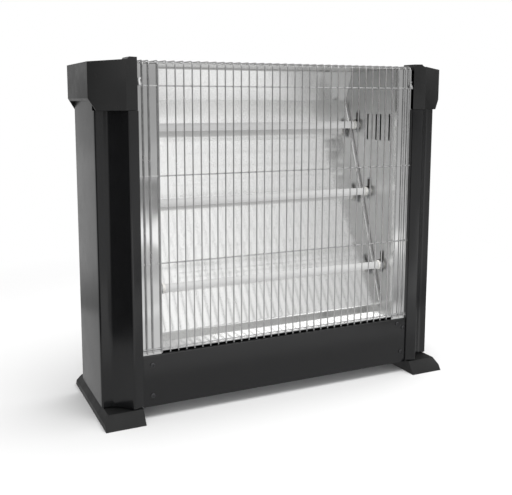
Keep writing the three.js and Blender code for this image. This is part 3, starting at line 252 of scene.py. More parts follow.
class Graph:
    """The node tree of a material or of the world."""

    def __init__(self, tree):
        self.tree = tree
        tree.nodes.clear()

    def node(self, kind, settings=None, inputs=None, output=0):
        """Adds a node: settings are set first, then each input gets a value or a link."""
        made = self.tree.nodes.new(kind)
        for key, value in (settings or {}).items():
            setattr(made, key, value)
        for key, value in (inputs or {}).items():
            if isinstance(value, Socket):
                self.tree.links.new(value.link, made.inputs[key])
            else:
                made.inputs[key].default_value = value
        return Socket(self, made.outputs[output]) if made.outputs else None

    def place(self, scale=(1.0, 1.0, 1.0)):
        """Object coordinates in metres, stretched by a factor along each axis."""
        coordinates = self.node("ShaderNodeTexCoord", output="Object")
        return self.node(
            "ShaderNodeVectorMath", {"operation": "MULTIPLY"}, {0: coordinates, 1: scale}
        )

    def noise(self, scale, detail, stretch=(1.0, 1.0, 1.0)):
        """Noise from 0 to 1; the scale is the number of its spots in a metre."""
        return self.node(
            "ShaderNodeTexNoise",
            {"noise_dimensions": "3D"},
            {"Vector": self.place(stretch), "Scale": scale, "Detail": detail},
            "Fac",
        )

    def part(self, vector, axis):
        """The X, Y or Z part of a vector."""
        return self.node("ShaderNodeSeparateXYZ", None, {0: vector}, axis)

    def ramp(self, value, low, high, start=0.0, end=1.0):
        """A value turned smoothly from start, at low, to end, at high."""
        return self.node(
            "ShaderNodeMapRange",
            {"interpolation_type": "SMOOTHSTEP"},
            {"Value": value, "From Min": low, "From Max": high, "To Min": start, "To Max": end},
        )

    def tint(self, share, first, second):
        """A colour between two colours."""
        return self.node(
            "ShaderNodeMix",
            {"data_type": "RGBA", "clamp_factor": True},
            {MIX_SHARE: share, MIX_FIRST: first, MIX_SECOND: second},
            MIX_RESULT,
        )

    def bump(self, height, distance, strength=1.0):
        """A normal from a height of 0 to 1, the distance being the full height in metres."""
        inputs = {"Height": height, "Distance": distance, "Strength": strength}
        return self.node("ShaderNodeBump", None, inputs, "Normal")

    def surface(self, varied, fixed):
        """The surface shader: the varied sockets change over the surface, the fixed ones don't."""
        shader = self.node("ShaderNodeBsdfPrincipled", None, {**fixed, **varied}, "BSDF")
        self.node("ShaderNodeOutputMaterial", None, {"Surface": shader})


def shade(colour, factor=1.0):
    """A colour with alpha, made lighter or darker."""
    return (*(min(1.0, part * factor) for part in colour), 1.0)


# Finishes: each function fills one material's graph


def gloss_paint(graph, colours):
    """Baked black paint: faint orange peel, dust haze and small roughness changes."""
    cloud = graph.noise(7.0, detail=3.0)
    peel = graph.noise(330.0, detail=1.0)
    haze = graph.noise(40.0, detail=4.0)
    graph.surface(
        {
            "Base Color": graph.tint(cloud, shade(colours.paint, 0.8), shade(colours.paint, 1.3)),
            "Roughness": graph.ramp(haze, 0.3, 0.8, start=0.15, end=0.22),
            "Normal": graph.bump(peel, 0.02 * MM),
        },
        {"Coat Weight": 0.1, "Coat Roughness": 0.08, "IOR": 1.6},
    )


def moulded(name, low, high):
    """A satin moulded plastic of the named colour with a fine grain."""

    def fill(graph, colours):
        colour = getattr(colours, name)
        cloud = graph.noise(12.0, detail=3.0)
        grain = graph.noise(1900.0, detail=2.0)
        rub = graph.noise(55.0, detail=4.0)
        graph.surface(
            {
                "Base Color": graph.tint(cloud, shade(colour, 0.86), shade(colour, 1.16)),
                "Roughness": graph.ramp(rub, 0.25, 0.75, start=low, end=high),
                "Normal": graph.bump(grain, 0.04 * MM, strength=0.7),
            },
            {"IOR": 1.46},
        )

    return fill


def reflector_sheet(graph, colours):
    """Bright aluminium sheet with a faint wave, fine streaks and cloudy patches."""
    wave = graph.noise(6.0, detail=1.0)
    streak = graph.noise(420.0, detail=2.0, stretch=(0.03, 1.0, 1.0))
    patch = graph.noise(4.0, detail=2.0)
    graph.surface(
        {
            "Base Color": graph.tint(patch, shade(colours.bright, 0.98), shade(colours.bright)),
            "Roughness": graph.ramp(streak, 0.2, 0.9, start=0.15, end=0.19),
            "Normal": graph.bump(wave, 0.6 * MM),
        },
        {"Metallic": 1.0},
    )


def side_sheet(graph, colours):
    """Side panel sheet: wavy and shiny on the flange in front, calm and duller further back."""
    flange_start, flange_end = -75 * MM, -70 * MM
    smoothed_share = 0.75
    depth = graph.part(graph.place(), "Y")
    front = graph.ramp(depth, flange_start, flange_end, start=1.0, end=0.0)
    wave = graph.noise(13.0, detail=1.0)
    patch = graph.noise(9.0, detail=2.0)
    dull = graph.ramp(patch, 0.2, 0.8, start=0.34, end=0.4)
    graph.surface(
        {
            "Base Color": graph.tint(patch, shade(colours.side, 0.97), shade(colours.side)),
            "Roughness": dull * (1.0 - smoothed_share * front),
            "Normal": graph.bump(wave, 1.2 * MM, strength=front),
        },
        {"Metallic": 1.0},
    )


def plated(name, rough, grain):
    """Plated steel of the named colour, with blotches of another roughness."""

    def fill(graph, colours):
        colour = getattr(colours, name)
        blotch = graph.noise(grain, detail=3.0)
        fine = graph.noise(grain * 9.0, detail=2.0)
        graph.surface(
            {
                "Base Color": graph.tint(blotch, shade(colour, 0.82), shade(colour, 1.15)),
                "Roughness": graph.ramp(blotch, 0.25, 0.8, start=rough * 0.75, end=rough * 1.3),
                "Normal": graph.bump(fine, 0.02 * MM, strength=0.6),
            },
            {"Metallic": 1.0},
        )

    return fill


def clip_steel(graph, colours):
    """Spring steel: pale round the ceramic, darker on the tab above each tube."""
    tab_start, tab_end = (4.5 * MM, 6 * MM), (20 * MM, 22 * MM)
    height = graph.part(graph.place(), "Z")
    dark_tab = 0.0
    # Darker colour on the tab above each tube, pale elsewhere
    for level in LEVELS:
        axis = middle_of(f"quartz_tube_{level}")[2]
        above = graph.ramp(height, *(axis + rise for rise in tab_start))
        below = graph.ramp(height, *(axis + rise for rise in tab_end), start=1.0, end=0.0)
        dark_tab = dark_tab + above * below
    blotch = graph.noise(180.0, detail=3.0)
    pale = graph.tint(blotch, shade(colours.zinc, 0.9), shade(colours.zinc, 1.2))
    graph.surface(
        {
            "Base Color": graph.tint(dark_tab, pale, shade(colours.clip)),
            "Roughness": graph.ramp(blotch, 0.25, 0.8, start=0.3, end=0.45),
        },
        {"Metallic": 1.0},
    )


def milky_quartz(graph, colours):
    """Frosted quartz with cloudy bands; a faint glow, painted light, lifts the tube's shaded
    underside and edges.
    """
    cloud = graph.noise(60.0, detail=3.0, stretch=(0.25, 1.0, 1.0))
    graph.surface(
        {
            "Base Color": graph.tint(cloud, shade(colours.quartz, 0.93), shade(colours.quartz)),
            "Roughness": graph.ramp(cloud, 0.2, 0.8, start=0.24, end=0.36),
            # Painted glow: the tube gives off light so that its shaded side looks lighter
            "Emission Color": graph.tint(cloud, shade(WHITE, 0.92), shade(WHITE)),
        },
        {
            "Transmission Weight": 0.1,
            "Emission Strength": 0.38,
            "IOR": 1.4,
            "Coat Weight": 0.1,
        },
    )


def matt_ceramic(graph, colours):
    """Unglazed steatite with fine pores and a warm clouding."""
    cloud = graph.noise(90.0, detail=3.0)
    pores = graph.noise(1500.0, detail=2.0)
    graph.surface(
        {
            "Base Color": graph.tint(cloud, shade(colours.ceramic, 0.9), shade(colours.ceramic)),
            "Roughness": graph.ramp(cloud, 0.2, 0.8, start=0.5, end=0.66),
            "Normal": graph.bump(pores, 0.05 * MM, strength=0.5),
        },
        {"IOR": 1.55},
    )


def plain_resin(name, rough):
    """A matt resin or rubber of the named colour."""

    def fill(graph, colours):
        colour = getattr(colours, name)
        cloud = graph.noise(80.0, detail=3.0)
        grain = graph.noise(1300.0, detail=2.0)
        graph.surface(
            {
                "Base Color": graph.tint(cloud, shade(colour, 0.85), shade(colour, 1.12)),
                "Roughness": graph.ramp(cloud, 0.2, 0.8, start=rough * 0.9, end=rough * 1.1),
                "Normal": graph.bump(grain, 0.04 * MM, strength=0.6),
            },
            {"IOR": 1.5},
        )

    return fill


FINISHES = {
    "black_steel": gloss_paint,
    "cap_plastic": moulded("cap", 0.27, 0.35),
    "foot_plastic": moulded("foot", 0.4, 0.52),
    "bright_sheet": reflector_sheet,
    "side_sheet": side_sheet,
    "wire_chrome": plated("chrome", 0.22, 60.0),
    "zinc_steel": plated("zinc", 0.4, 35.0),
    "screw_steel": plated("screw", 0.34, 200.0),
    "milky_quartz": milky_quartz,
    "ceramic": matt_ceramic,
    "coil_alloy": plated("coil", 0.42, 150.0),
    "clip_steel": clip_steel,
    "switch_plastic": moulded("switch", 0.2, 0.3),
    "insulator": plain_resin("insulator", 0.55),
    "loom_rubber": plain_resin("rubber", 0.6),
}


def finish(name):
    """The material of that name, made on its first use."""
    title = f"{name}_finish"
    material = bpy.data.materials.get(title)
    if material is None:
        material = bpy.data.materials.new(title)
        material.use_nodes = True
        FINISHES[name](Graph(material.node_tree), bpy.context.scene.heater_colours)
    return material


# Surfaces as whole arrays


def unit(vectors):
    """Vectors divided by their lengths."""
    return vectors / np.linalg.norm(vectors, axis=-1, keepdims=True)


def left_of(vectors):
    """Plane vectors turned a quarter to the left."""
    return np.stack([-vectors[..., 1], vectors[..., 0]], axis=-1)


def moved_path(path, distance, closed=False):
    """A plane path moved to its left: at each corner the two moved sides meet in a mitre."""
    before = np.roll(path, 1, axis=0)
    after = np.roll(path, -1, axis=0)
    if not closed:
        before[0] = 2 * path[0] - path[1]
        after[-1] = 2 * path[-1] - path[-2]
    side_in = left_of(unit(path - before))
    side_out = left_of(unit(after - path))
    dot = (side_in * side_out).sum(axis=1, keepdims=True)
    return path + (side_in + side_out) * distance / (1 + dot)


def rounded_path(path, radii, steps=6, closed=False):
    """A plane path with each corner replaced by an arc.

    With the corner's turn a and radius r, the arc starts r * tan(a / 2) before the corner and is
    the start turned about its centre by shares of a.
    """
    path = np.asarray(path, float)
    before = np.roll(path, 1, axis=0)
    after = np.roll(path, -1, axis=0)
    inner = slice(None) if closed else slice(1, -1)
    corner = path[inner]
    along_in = unit(corner - before[inner])
    along_out = unit(after[inner] - corner)
    cross = along_in[:, 0] * along_out[:, 1] - along_in[:, 1] * along_out[:, 0]
    turn = np.arctan2(cross, (along_in * along_out).sum(axis=1))
    radius = np.broadcast_to(np.asarray(radii, float), turn.shape)
    start = corner - along_in * (radius * np.tan(np.abs(turn) / 2))[:, None]
    centre = start + left_of(along_in) * (radius * np.sign(turn))[:, None]
    angle = turn[:, None] * np.linspace(0, 1, steps + 1)
    arm = (start - centre)[:, None, :]
    arcs = (
        centre[:, None, :]
        + arm * np.cos(angle)[..., None]
        + left_of(arm) * np.sin(angle)[..., None]
    ).reshape(-1, 2)
    return arcs if closed else np.vstack([path[:1], arcs, path[-1:]])


def path_length(path):
    """Distance along a path at each of its points."""
    steps = np.linalg.norm(np.diff(path, axis=0), axis=1)
    return np.concatenate([[0.0], np.cumsum(steps)])


def path_at(path, places):
    """Points at given distances along a path."""
    far = path_length(path)
    return np.stack([np.interp(places, far, path[:, k]) for k in range(path.shape[1])], axis=1)


def stations(total, step, extra=()):
    """Places from 0 to a total, about a step apart, with extra places let in."""
    even = np.linspace(0.0, total, max(2, int(round(total / step)) + 1))
    places = np.unique(np.concatenate([even, np.asarray(list(extra), float)]).round(DIGITS))
    return places[(places >= 0) & (places <= total + SAME_POINT)]


def grid_quads(index):
    """Quads between the neighbours of a grid of vertex numbers."""
    return np.stack(
        [index[:-1, :-1], index[1:, :-1], index[1:, 1:], index[:-1, 1:]], axis=-1
    ).reshape(-1, 4)


def wrapped(index, rows=False, columns=False):
    """A grid of vertex numbers whose first line is met again at its end."""
    if rows:
        index = np.vstack([index, index[:1]])
    if columns:
        index = np.hstack([index, index[:, :1]])
    return index


def shell(front, back, gone=None, wrap=False):
    """Points and quads of a sheet with two faces and a rim along every open edge.

    The faces are two grids of points. A cell of the grid marked in gone is an opening, and an
    edge between a kept cell and an opening or the outside gets a quad from face to face.
    """
    rows, columns = front.shape[:2]
    count = rows * columns
    index = wrapped(np.arange(count).reshape(rows, columns), rows=wrap)
    cells = (index.shape[0] - 1, columns - 1)
    kept = np.ones(cells, bool) if gone is None else ~gone
    quads = grid_quads(index)[kept.ravel()]
    faces = [quads, quads[:, ::-1] + count]
    if wrap:
        across = kept ^ np.roll(kept, 1, axis=0)
        lines = index[:-1]
    else:
        padded = np.pad(kept, ((1, 1), (0, 0)))
        across = padded[1:] ^ padded[:-1]
        lines = index
    first, second = lines[:, :-1][across], lines[:, 1:][across]
    faces.append(np.stack([first, second, second + count, first + count], axis=-1))
    padded = np.pad(kept, ((0, 0), (1, 1)))
    across = padded[:, 1:] ^ padded[:, :-1]
    first, second = index[:-1][across], index[1:][across]
    faces.append(np.stack([first, second, second + count, first + count], axis=-1))
    points = np.concatenate([front.reshape(-1, 3), back.reshape(-1, 3)])
    return points, np.concatenate(faces)


def swept(path, places, axis):
    """A grid of points: a plane path repeated at places along the remaining axis."""
    points = np.empty((len(path), len(places), 3))
    others = [k for k in range(3) if k != axis]
    points[..., others[0]] = path[:, :1]
    points[..., others[1]] = path[:, 1:]
    points[..., axis] = places
    return points


def in_ranges(values, *ranges):
    """Which values lie in any of the ranges."""
    return np.any([(values > low) & (values < high) for low, high in ranges], axis=0)


def middles(values):
    """The points half way between neighbours."""
    return (values[1:] + values[:-1]) / 2


def turned(profile, sides, closed=False):
    """Points and quads of a profile of radius and height carried once round the Z axis.

    x = radius * cos(a), y = radius * sin(a), z = height, a from 0 to a full turn.
    """
    profile = np.asarray(profile, float)
    angle = np.linspace(0, 2 * np.pi, sides, endpoint=False)
    radius, height = profile[:, :1], profile[:, 1:]
    points = np.stack(
        [radius * np.cos(angle), radius * np.sin(angle), height + 0 * angle], axis=-1
    )
    index = wrapped(np.arange(len(profile) * sides).reshape(-1, sides), closed, True)
    return points.reshape(-1, 3), grid_quads(index)


def along_path(path, sideways, radius, sides):
    """Points and quads of a round wire: a circle carried along a path, with a point at each end.

    At a path point p with tangent t and fixed sideways vector s, the circle is
    p + radius * (cos(a) * s + sin(a) * (t x s)), a from 0 to a full turn.
    """
    tangent = unit(np.gradient(path, axis=0))
    upward = unit(np.cross(tangent, sideways))
    across = np.cross(upward, tangent)
    angle = np.linspace(0, 2 * np.pi, sides, endpoint=False)[None, :, None]
    ring = np.cos(angle) * across[:, None, :] + np.sin(angle) * upward[:, None, :]
    points = path[:, None, :] + radius * ring
    ends = np.repeat(path[[0, -1]][:, None, :], sides, axis=1)
    points = np.concatenate([ends[:1], points, ends[1:]])
    index = wrapped(np.arange(len(points) * sides).reshape(-1, sides), False, True)
    return points.reshape(-1, 3), grid_quads(index)


def several(parts):
    """One list of points and quads from many."""
    starts = np.cumsum([0] + [len(points) for points, _ in parts[:-1]])
    points = np.concatenate([points for points, _ in parts])
    quads = np.concatenate([quads + start for start, (_, quads) in zip(starts, parts)])
    return points, quads


def turned_to(points, axis, centre):
    """Points about the Z axis laid on another axis, +X, -X, +Y, -Y, +Z or -Z, about a centre."""
    matrix = {
        "+X": ((0, 0, 1), (0, 1, 0), (-1, 0, 0)),
        "-X": ((0, 0, -1), (0, 1, 0), (1, 0, 0)),
        "+Y": ((1, 0, 0), (0, 0, 1), (0, -1, 0)),
        "-Y": ((1, 0, 0), (0, 0, -1), (0, 1, 0)),
        "+Z": ((1, 0, 0), (0, 1, 0), (0, 0, 1)),
        "-Z": ((1, 0, 0), (0, -1, 0), (0, 0, -1)),
    }[axis]
    return points @ np.array(matrix, float).T + np.asarray(centre, float)


# Objects


def closed_mesh(name, points, quads):
    """A mesh with its doubles merged and its faces turned outwards."""
    mesh = bpy.data.meshes.new(name)
    used, quads = np.unique(quads, return_inverse=True)
    mesh.from_pydata(points[used].tolist(), [], quads.reshape(-1, 4).tolist())
    work = bmesh.new()
    work.from_mesh(mesh)
    bmesh.ops.remove_doubles(work, verts=work.verts, dist=SAME_POINT)
    bmesh.ops.dissolve_degenerate(work, edges=work.edges, dist=SAME_POINT / 10)
    bmesh.ops.recalc_face_normals(work, faces=work.faces)
    work.to_mesh(mesh)
    work.free()
    return mesh


def link(piece):
    """Puts an object into the scene."""
    bpy.context.scene.collection.objects.link(piece)
    return piece


def add_piece(name, mesh, nodes, slot, angle, material=None, body=BODY):
    """Makes a mesh a visible piece that stands for the named CAD nodes."""
    piece = link(bpy.data.objects.new(name, mesh))
    mesh.materials.clear()
    mesh.materials.append(finish(material or slot))
    mesh.shade_smooth()
    mesh.set_sharp_from_angle(angle=math.radians(angle))
    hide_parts(*nodes)
    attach(piece, body)
    return piece


def new_piece(name, surface, nodes, slot, **options):
    """Makes a visible piece from points and quads."""
    add_piece(name, closed_mesh(name, *surface), nodes, slot, **options)


def soften(piece, width, segments):
    """Rounds the sharp edges of a piece."""
    bevel = piece.modifiers.new("edges", "BEVEL")
    bevel.limit_method = "ANGLE"
    bevel.angle_limit = ROUNDED_TURN
    bevel.width = width
    bevel.segments = segments
    bevel.harden_normals = True


def softened_copy(node, name, slot, width, segments=2, top_rise=0.0, angle=NO_EDGE, **options):
    """Copies a CAD node, joins its loose triangles into whole faces and rounds its edges.

    Its topmost corners can be raised.
    """
    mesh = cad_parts[node].data.copy()
    mesh.name = name
    work = bmesh.new()
    work.from_mesh(mesh)
    bmesh.ops.remove_doubles(work, verts=work.verts, dist=SAME_CAD_POINT)
    bmesh.ops.dissolve_limit(work, angle_limit=FLAT_TURN, verts=work.verts, edges=work.edges)
    work.to_mesh(mesh)
    work.free()
    places = np.empty(len(mesh.vertices) * 3)
    mesh.vertices.foreach_get("co", places)
    places = places.reshape(-1, 3)
    places[places[:, 2] > places[:, 2].max() - NEAR, 2] += top_rise
    mesh.vertices.foreach_set("co", places.ravel())
    soften(add_piece(name, mesh, [node], slot, angle, **options), width, segments)


def keep_node(node, slot):
    """Leaves a CAD node visible and gives it a procedural finish."""
    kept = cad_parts[node]
    kept.data.materials.clear()
    kept.data.materials.append(finish(slot))


def low_high(node):
    """The lowest and highest corner of a CAD node as arrays."""
    low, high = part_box(node)
    return np.array(low), np.array(high)


def middle_of(node):
    """The middle of a CAD node's box."""
    low, high = low_high(node)
    return (low + high) / 2


class Maker:
    """What the operators share: each builds its pieces anew and raises an error if it can't."""

    bl_options = {"REGISTER", "UNDO"}

    @property
    def sizes(self):
        return bpy.context.scene.heater_sizes


class HEATER_OT_posts(Maker, bpy.types.Operator):
    """Make both bent side posts, the right one with its switch openings"""

    bl_idname = "heater.posts"
    bl_label = "Posts"

    strip_width = 13.9 * MM
    strip_rise = 5.8 * MM
    bezel_rim = 1.2 * MM
    level_step = 60 * MM
    cove_depth = 25.6 * MM
    cove_radius = 16 * MM
    seat_depth = 30 * MM
    fit = 0.3 * MM
    hollow = 0.9 * MM
    arc_steps = 8
    face_steps = 14

    def plan(self, low, high):
        """The post seen from above: strip, ridge, slanted face, cove, outer side and back.

        The slanted face is slightly hollow: its depth over the chord is 4 * hollow * t * (1 - t).
        """
        ridge = np.array([low[0] + self.strip_width, low[1]])
        front = low[1] + self.strip_rise
        lip = ridge[1] + self.cove_depth
        corner = [ridge[0] + self.cove_depth, lip]
        bend = self.sizes.post_bend
        outline = [[low[0], high[1]], [low[0], front], ridge, corner, [high[0], lip], high[:2]]
        radii = [bend, bend / 2, bend, self.cove_radius, bend, bend]
        steps = self.arc_steps
        path = rounded_path(outline, radii, steps, closed=True)
        # The slanted face starts after the arcs of the outline's first three corners
        split = 3 * (steps + 1)
        start, end = path[split - 1], path[split]
        t = np.linspace(0, 1, self.face_steps)[1:-1, None]
        inward = left_of(unit(end - start))
        face = start + (end - start) * t + inward * 4 * self.hollow * t * (1 - t)
        return np.vstack([path[:split], face, path[split:]])

    def openings(self):
        """Depth and height ranges of the switches' openings in the right post's outer side."""
        ranges = []
        for number in SWITCHES:
            low, high = low_high(f"switch_housing_{number}")
            centre, half = (low + high) / 2, (high - low) / 2 - self.bezel_rim
            ranges.append(tuple(zip(centre - half, centre + half))[1:])
        return ranges

    def broken(self, path, breaks):
        """The path with points added where its straight stretches in depth cross the breaks."""
        points = []
        for start, end in zip(path, np.roll(path, -1, axis=0)):
            points.append(start)
            if abs(start[0] - end[0]) < SAME_CAD_POINT:
                near, far = sorted((start[1], end[1]))
                inside = [y for y in breaks if near < y < far]
                inside.sort(reverse=bool(end[1] < start[1]))
                points += [(start[0], y) for y in inside]
        return np.array(points)

    def execute(self, context):
        for side_name, side in SIDES.items():
            node = f"post_{side_name}"
            low, high = low_high(node)
            if side < 0:
                low[0], high[0] = -high[0], -low[0]
            openings = self.openings() if side > 0 else []
            seat_y = low[1] + self.strip_rise + self.seat_depth
            seat_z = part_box(f"cap_{side_name}")[0].z - self.fit
            breaks = [seat_y, *(y for depths, _ in openings[:1] for y in depths)]
            path = self.broken(self.plan(low, high), breaks)
            inner = moved_path(path, -self.sizes.sheet, closed=True)
            even = stations(high[2] - low[2], self.level_step) + low[2]
            levels = [seat_z, *(z for _, rises in openings for z in rises)]
            heights = np.unique(np.concatenate([even, levels]).round(DIGITS))
            middle = middles(np.vstack([path, path[:1]]))
            middle_x, middle_y = middle[:, :1], middle[:, 1:]
            middle_z = middles(heights)[None, :]
            gone = (middle_y < seat_y) & (middle_z > seat_z)
            outer = middle_x > high[0] - NEAR
            for depths, rises in openings:
                gone |= outer & in_ranges(middle_y, depths) & in_ranges(middle_z, rises)
            front, back = (swept(line, heights, 2) * (side, 1, 1) for line in (path, inner))
            faces = shell(front, back, gone, wrap=True)
            new_piece(f"{node}_sheet", faces, [node], "black_steel", angle=SHEET_EDGE)
        return {"FINISHED"}


class HEATER_OT_caps(Maker, bpy.types.Operator):
    """Make the two grip caps"""

    bl_idname = "heater.caps"
    bl_label = "Grip caps"

    def execute(self, context):
        width = self.sizes.cap_round
        for side in SIDES:
            name = f"cap_{side}"
            softened_copy(name, f"{name}_moulding", "cap_plastic", width, segments=3)
        return {"FINISHED"}


class HEATER_OT_feet(Maker, bpy.types.Operator):
    """Make the two feet"""

    bl_idname = "heater.feet"
    bl_label = "Feet"

    def execute(self, context):
        width = self.sizes.foot_round
        for side in SIDES:
            name = f"foot_{side}"
            softened_copy(name, f"{name}_moulding", "foot_plastic", width, segments=3)
        return {"FINISHED"}


class HEATER_OT_base_panel(Maker, bpy.types.Operator):
    """Make the base front panel with its rounded top bend"""

    bl_idname = "heater.base_panel"
    bl_label = "Base front panel"

    place_step = 40 * MM

    def execute(self, context):
        node = "base_front_panel"
        low, high = low_high(node)
        section = [[low[1], low[2]], [low[1], high[2]], [high[1], high[2]]]
        path = rounded_path(section, self.sizes.panel_bend)
        inner = moved_path(path, -self.sizes.sheet)
        across = stations(high[0] - low[0], self.place_step) + low[0]
        faces = shell(swept(path, across, 0), swept(inner, across, 0))
        new_piece(f"{node}_sheet", faces, [node], "black_steel", angle=SHEET_EDGE)
        return {"FINISHED"}


# Half the width of the cavity between the side panels at its front, and the base panel's top
CAVITY_HALF = 201 * MM
BASE_TOP = 94.5 * MM
# Steps in depth and height between the corners of the reflector's section
LEDGE_START = np.array([1.5, 1.5]) * MM
LEDGE_STEP = np.array([10.5, 10.5]) * MM
TOE_STEP = np.array([14.1, 7.5]) * MM
HOOD_STEP = np.array([15.5, 49.1]) * MM
SLANT_DEPTH = 103.1 * MM
TOP_RISE = 1 * MM
LIP_HEIGHT = 1 * MM

Section = namedtuple("Section", "ledge toe slant_foot slant_head hood_head front_top lip_top")


def reflector_section(thick):
    """Depth and height of the reflector's front face, from the ledge up to the lip."""
    low, high = low_high("reflector")
    ledge = np.array([low[1], low[2] + thick]) + LEDGE_START
    toe = ledge + LEDGE_STEP
    slant_foot = toe + TOE_STEP
    lip_height = high[2] + TOP_RISE
    inner_top = lip_height - LIP_HEIGHT - thick
    slant_head = np.array([slant_foot[0] + SLANT_DEPTH, inner_top - HOOD_STEP[1]])
    hood_head = np.array([slant_head[0] - HOOD_STEP[0], inner_top])
    front_top = np.array([low[1] + thick, inner_top])
    lip_top = np.array([low[1] + thick, lip_height])
    return Section(ledge, toe, slant_foot, slant_head, hood_head, front_top, lip_top)


class HEATER_OT_reflector(Maker, bpy.types.Operator):
    """Make the bent reflector with its pressed ribs and slight waves"""

    bl_idname = "heater.reflector"
    bl_label = "Reflector"

    rib_shares = (0.717, 0.319)
    rib_pitch = 21.5 * MM
    ribs_per_group = 4
    rib_half = 164 * MM
    rib_end = 7 * MM
    bend_edge = 0.3 * MM
    bend_steps = 7
    place_step = 9 * MM
    across_count = 71
    rib_places = 13
    rib_end_places = 7
    # Shares of the bends' radius at the toe, the slant's foot and head and the hood's head, and
    # of the sheet's thickness at the top edge
    bend_shares = (1, 2, 1 / 3, 1)
    lip_bend_share = 1.1
    # Factors a, b, c and so on of the two slight waves, the second's share of the first's depth,
    # and how steeply both fade out towards the sides
    first_factors = (9.1, 2.3, 3.1, 5.3, 4.0)
    second_factors = (21, 4.0, 8.7, 3)
    second_share = 0.6
    calm_slope = 6

    def wave(self, s, x):
        """Slight waves from the shares s of the way up and x of the half width.

        The first is sin(a s + b sin(c x)) * cos(d x + e s) and the second
        sin(a s + b x) * sin(c x - d s). Both are multiplied by sin(pi s), and they fade out
        towards the sides.
        """
        a, b, c, d, e = self.first_factors
        first = np.sin(a * s + b * np.sin(c * x)) * np.cos(d * x + e * s)
        a, b, c, d = self.second_factors
        second = self.second_share * np.sin(a * s + b * x) * np.sin(c * x - d * s)
        calm = np.sin(np.pi * s) * np.clip((1 - np.abs(x)) * self.calm_slope, 0, 1)
        return calm * (first + second)

    def execute(self, context):
        node = "reflector"
        sizes = self.sizes
        _, high = low_high(node)
        outline = reflector_section(sizes.bright_sheet)
        slant_foot, slant_head = outline.slant_foot, outline.slant_head
        radii = [sizes.reflector_bend * share for share in self.bend_shares]
        radii.append(sizes.bright_sheet * self.lip_bend_share)
        path = rounded_path(outline, radii, self.bend_steps)
        far = path_length(path)
        total = far[-1]
        slant = np.linalg.norm(slant_head - slant_foot)
        along = unit(slant_head - slant_foot)
        # Distance along the path of the slant's foot, measured back from a point on the slant
        on_slant = (path - slant_foot) @ along
        first = np.argmax(on_slant > slant / 4)
        foot_place = far[first] - on_slant[first]
        middle = (self.ribs_per_group - 1) / 2
        ribs = np.array(
            [
                foot_place + share * slant + (i - middle) * self.rib_pitch
                for share in self.rib_shares
                for i in range(self.ribs_per_group)
            ]
        )
        near = np.linspace(-1, 1, self.rib_places) * sizes.rib_width
        beside = np.array([-1, 0, 1])[:, None] * self.bend_edge
        extra = [*(far + beside).ravel(), *(ribs[:, None] + near).ravel()]
        places = stations(total, self.place_step, extra)
        ends = self.rib_half - self.rib_end * np.linspace(0, 1, self.rib_end_places)
        half = high[0]
        even = np.linspace(-half, half, self.across_count)
        across = np.unique(np.concatenate([even, ends, -ends]).round(DIGITS))
        base = path_at(path, places)
        tangent = unit(np.gradient(base, places, axis=0))
        normal = left_of(tangent)
        # A rib is a raised cosine across its width, and a smooth step fades it out at its ends
        offset = np.abs(places[:, None] - ribs).min(axis=1) / sizes.rib_width
        crest = np.where(offset < 1, (1 + np.cos(np.pi * np.minimum(offset, 1))) / 2, 0)
        fade = np.clip((self.rib_half - np.abs(across)) / self.rib_end, 0, 1)
        fade = fade * fade * (3 - 2 * fade)
        height = sizes.rib_height * crest[:, None] * fade
        height = height + sizes.sheet_wave * self.wave(places[:, None] / total, across / half)
        front = swept(base, across, 0)
        back = swept(moved_path(base, -sizes.bright_sheet), across, 0)
        for face in (front, back):
            face[..., 1] += normal[:, :1] * height
            face[..., 2] += normal[:, 1:] * height
        new_piece(f"{node}_sheet", shell(front, back), [node], "bright_sheet", angle=CURVED_EDGE)
        return {"FINISHED"}


class HEATER_OT_side_panels(Maker, bpy.types.Operator):
    """Make the reflector's two side panels with their rear lips, and the two guard clips"""

    bl_idname = "heater.side_panels"
    bl_label = "Side panels and guard clips"

    lip_radius = 4 * MM
    lip_sheet = 0.6 * MM
    gap = 0.35 * MM
    top_rise = 2.9 * MM
    lip_end_share = 0.015
    lip_end_angle = 0.06
    lip_places = 9

    def lip(self, side):
        """A thin curved lip along the corner of side panel and reflector.

        Its section is a quarter circle, centre - radius * (cos(a) * inward + sin(a) * out), a
        from 0 to a right angle, in the plane across the corner's line.
        """
        section = reflector_section(self.sizes.bright_sheet)
        foot, head = section.slant_foot, section.slant_head
        along = np.array([0.0, *unit(head - foot)])
        out = np.array([0.0, *left_of(unit(head - foot))])
        t = np.linspace(self.lip_end_share, 1 - self.lip_end_share, self.lip_places)[:, None]
        plane = foot + (head - foot) * t
        line = np.column_stack([self.cheek_place(plane[:, 0]), plane])
        inward = unit(np.cross(along, out))
        if inward[0] > 0:
            inward = -inward
        angle = np.linspace(self.lip_end_angle, np.pi / 2 - self.lip_end_angle, self.lip_places)

        def face(radius):
            """The quarter circle's points at a radius, all along the corner."""
            centre = line + (out + inward) * (self.lip_radius + self.gap)
            ring = -np.cos(angle)[:, None] * inward - np.sin(angle)[:, None] * out
            return centre[:, None, :] + radius * ring

        points, quads = shell(face(self.lip_radius - self.lip_sheet), face(self.lip_radius))
        return points * (side, 1, 1), quads

    def cheek_place(self, depth):
        """Distance of the side panel's inner face from the middle at a depth."""
        low, high = low_high("reflector_side_panel_right")
        front = low[1] + self.sizes.bright_sheet
        share = (depth - front) / (high[1] - front)
        return CAVITY_HALF + (low[0] - CAVITY_HALF) * np.clip(share, 0, 1)

    def execute(self, context):
        width = self.sizes.strip_round
        for side_name, side in SIDES.items():
            panel, clip = f"reflector_side_panel_{side_name}", f"guard_clip_{side_name}"
            softened_copy(
                panel,
                f"{panel}_sheet",
                "bright_sheet",
                width,
                segments=1,
                top_rise=self.top_rise,
                angle=FLAT_EDGE,
                material="side_sheet",
            )
            new_piece(f"{panel}_lip", self.lip(side), [panel], "bright_sheet", angle=CURVED_EDGE)
            softened_copy(clip, f"{clip}_strip", "wire_chrome", width)
        return {"FINISHED"}


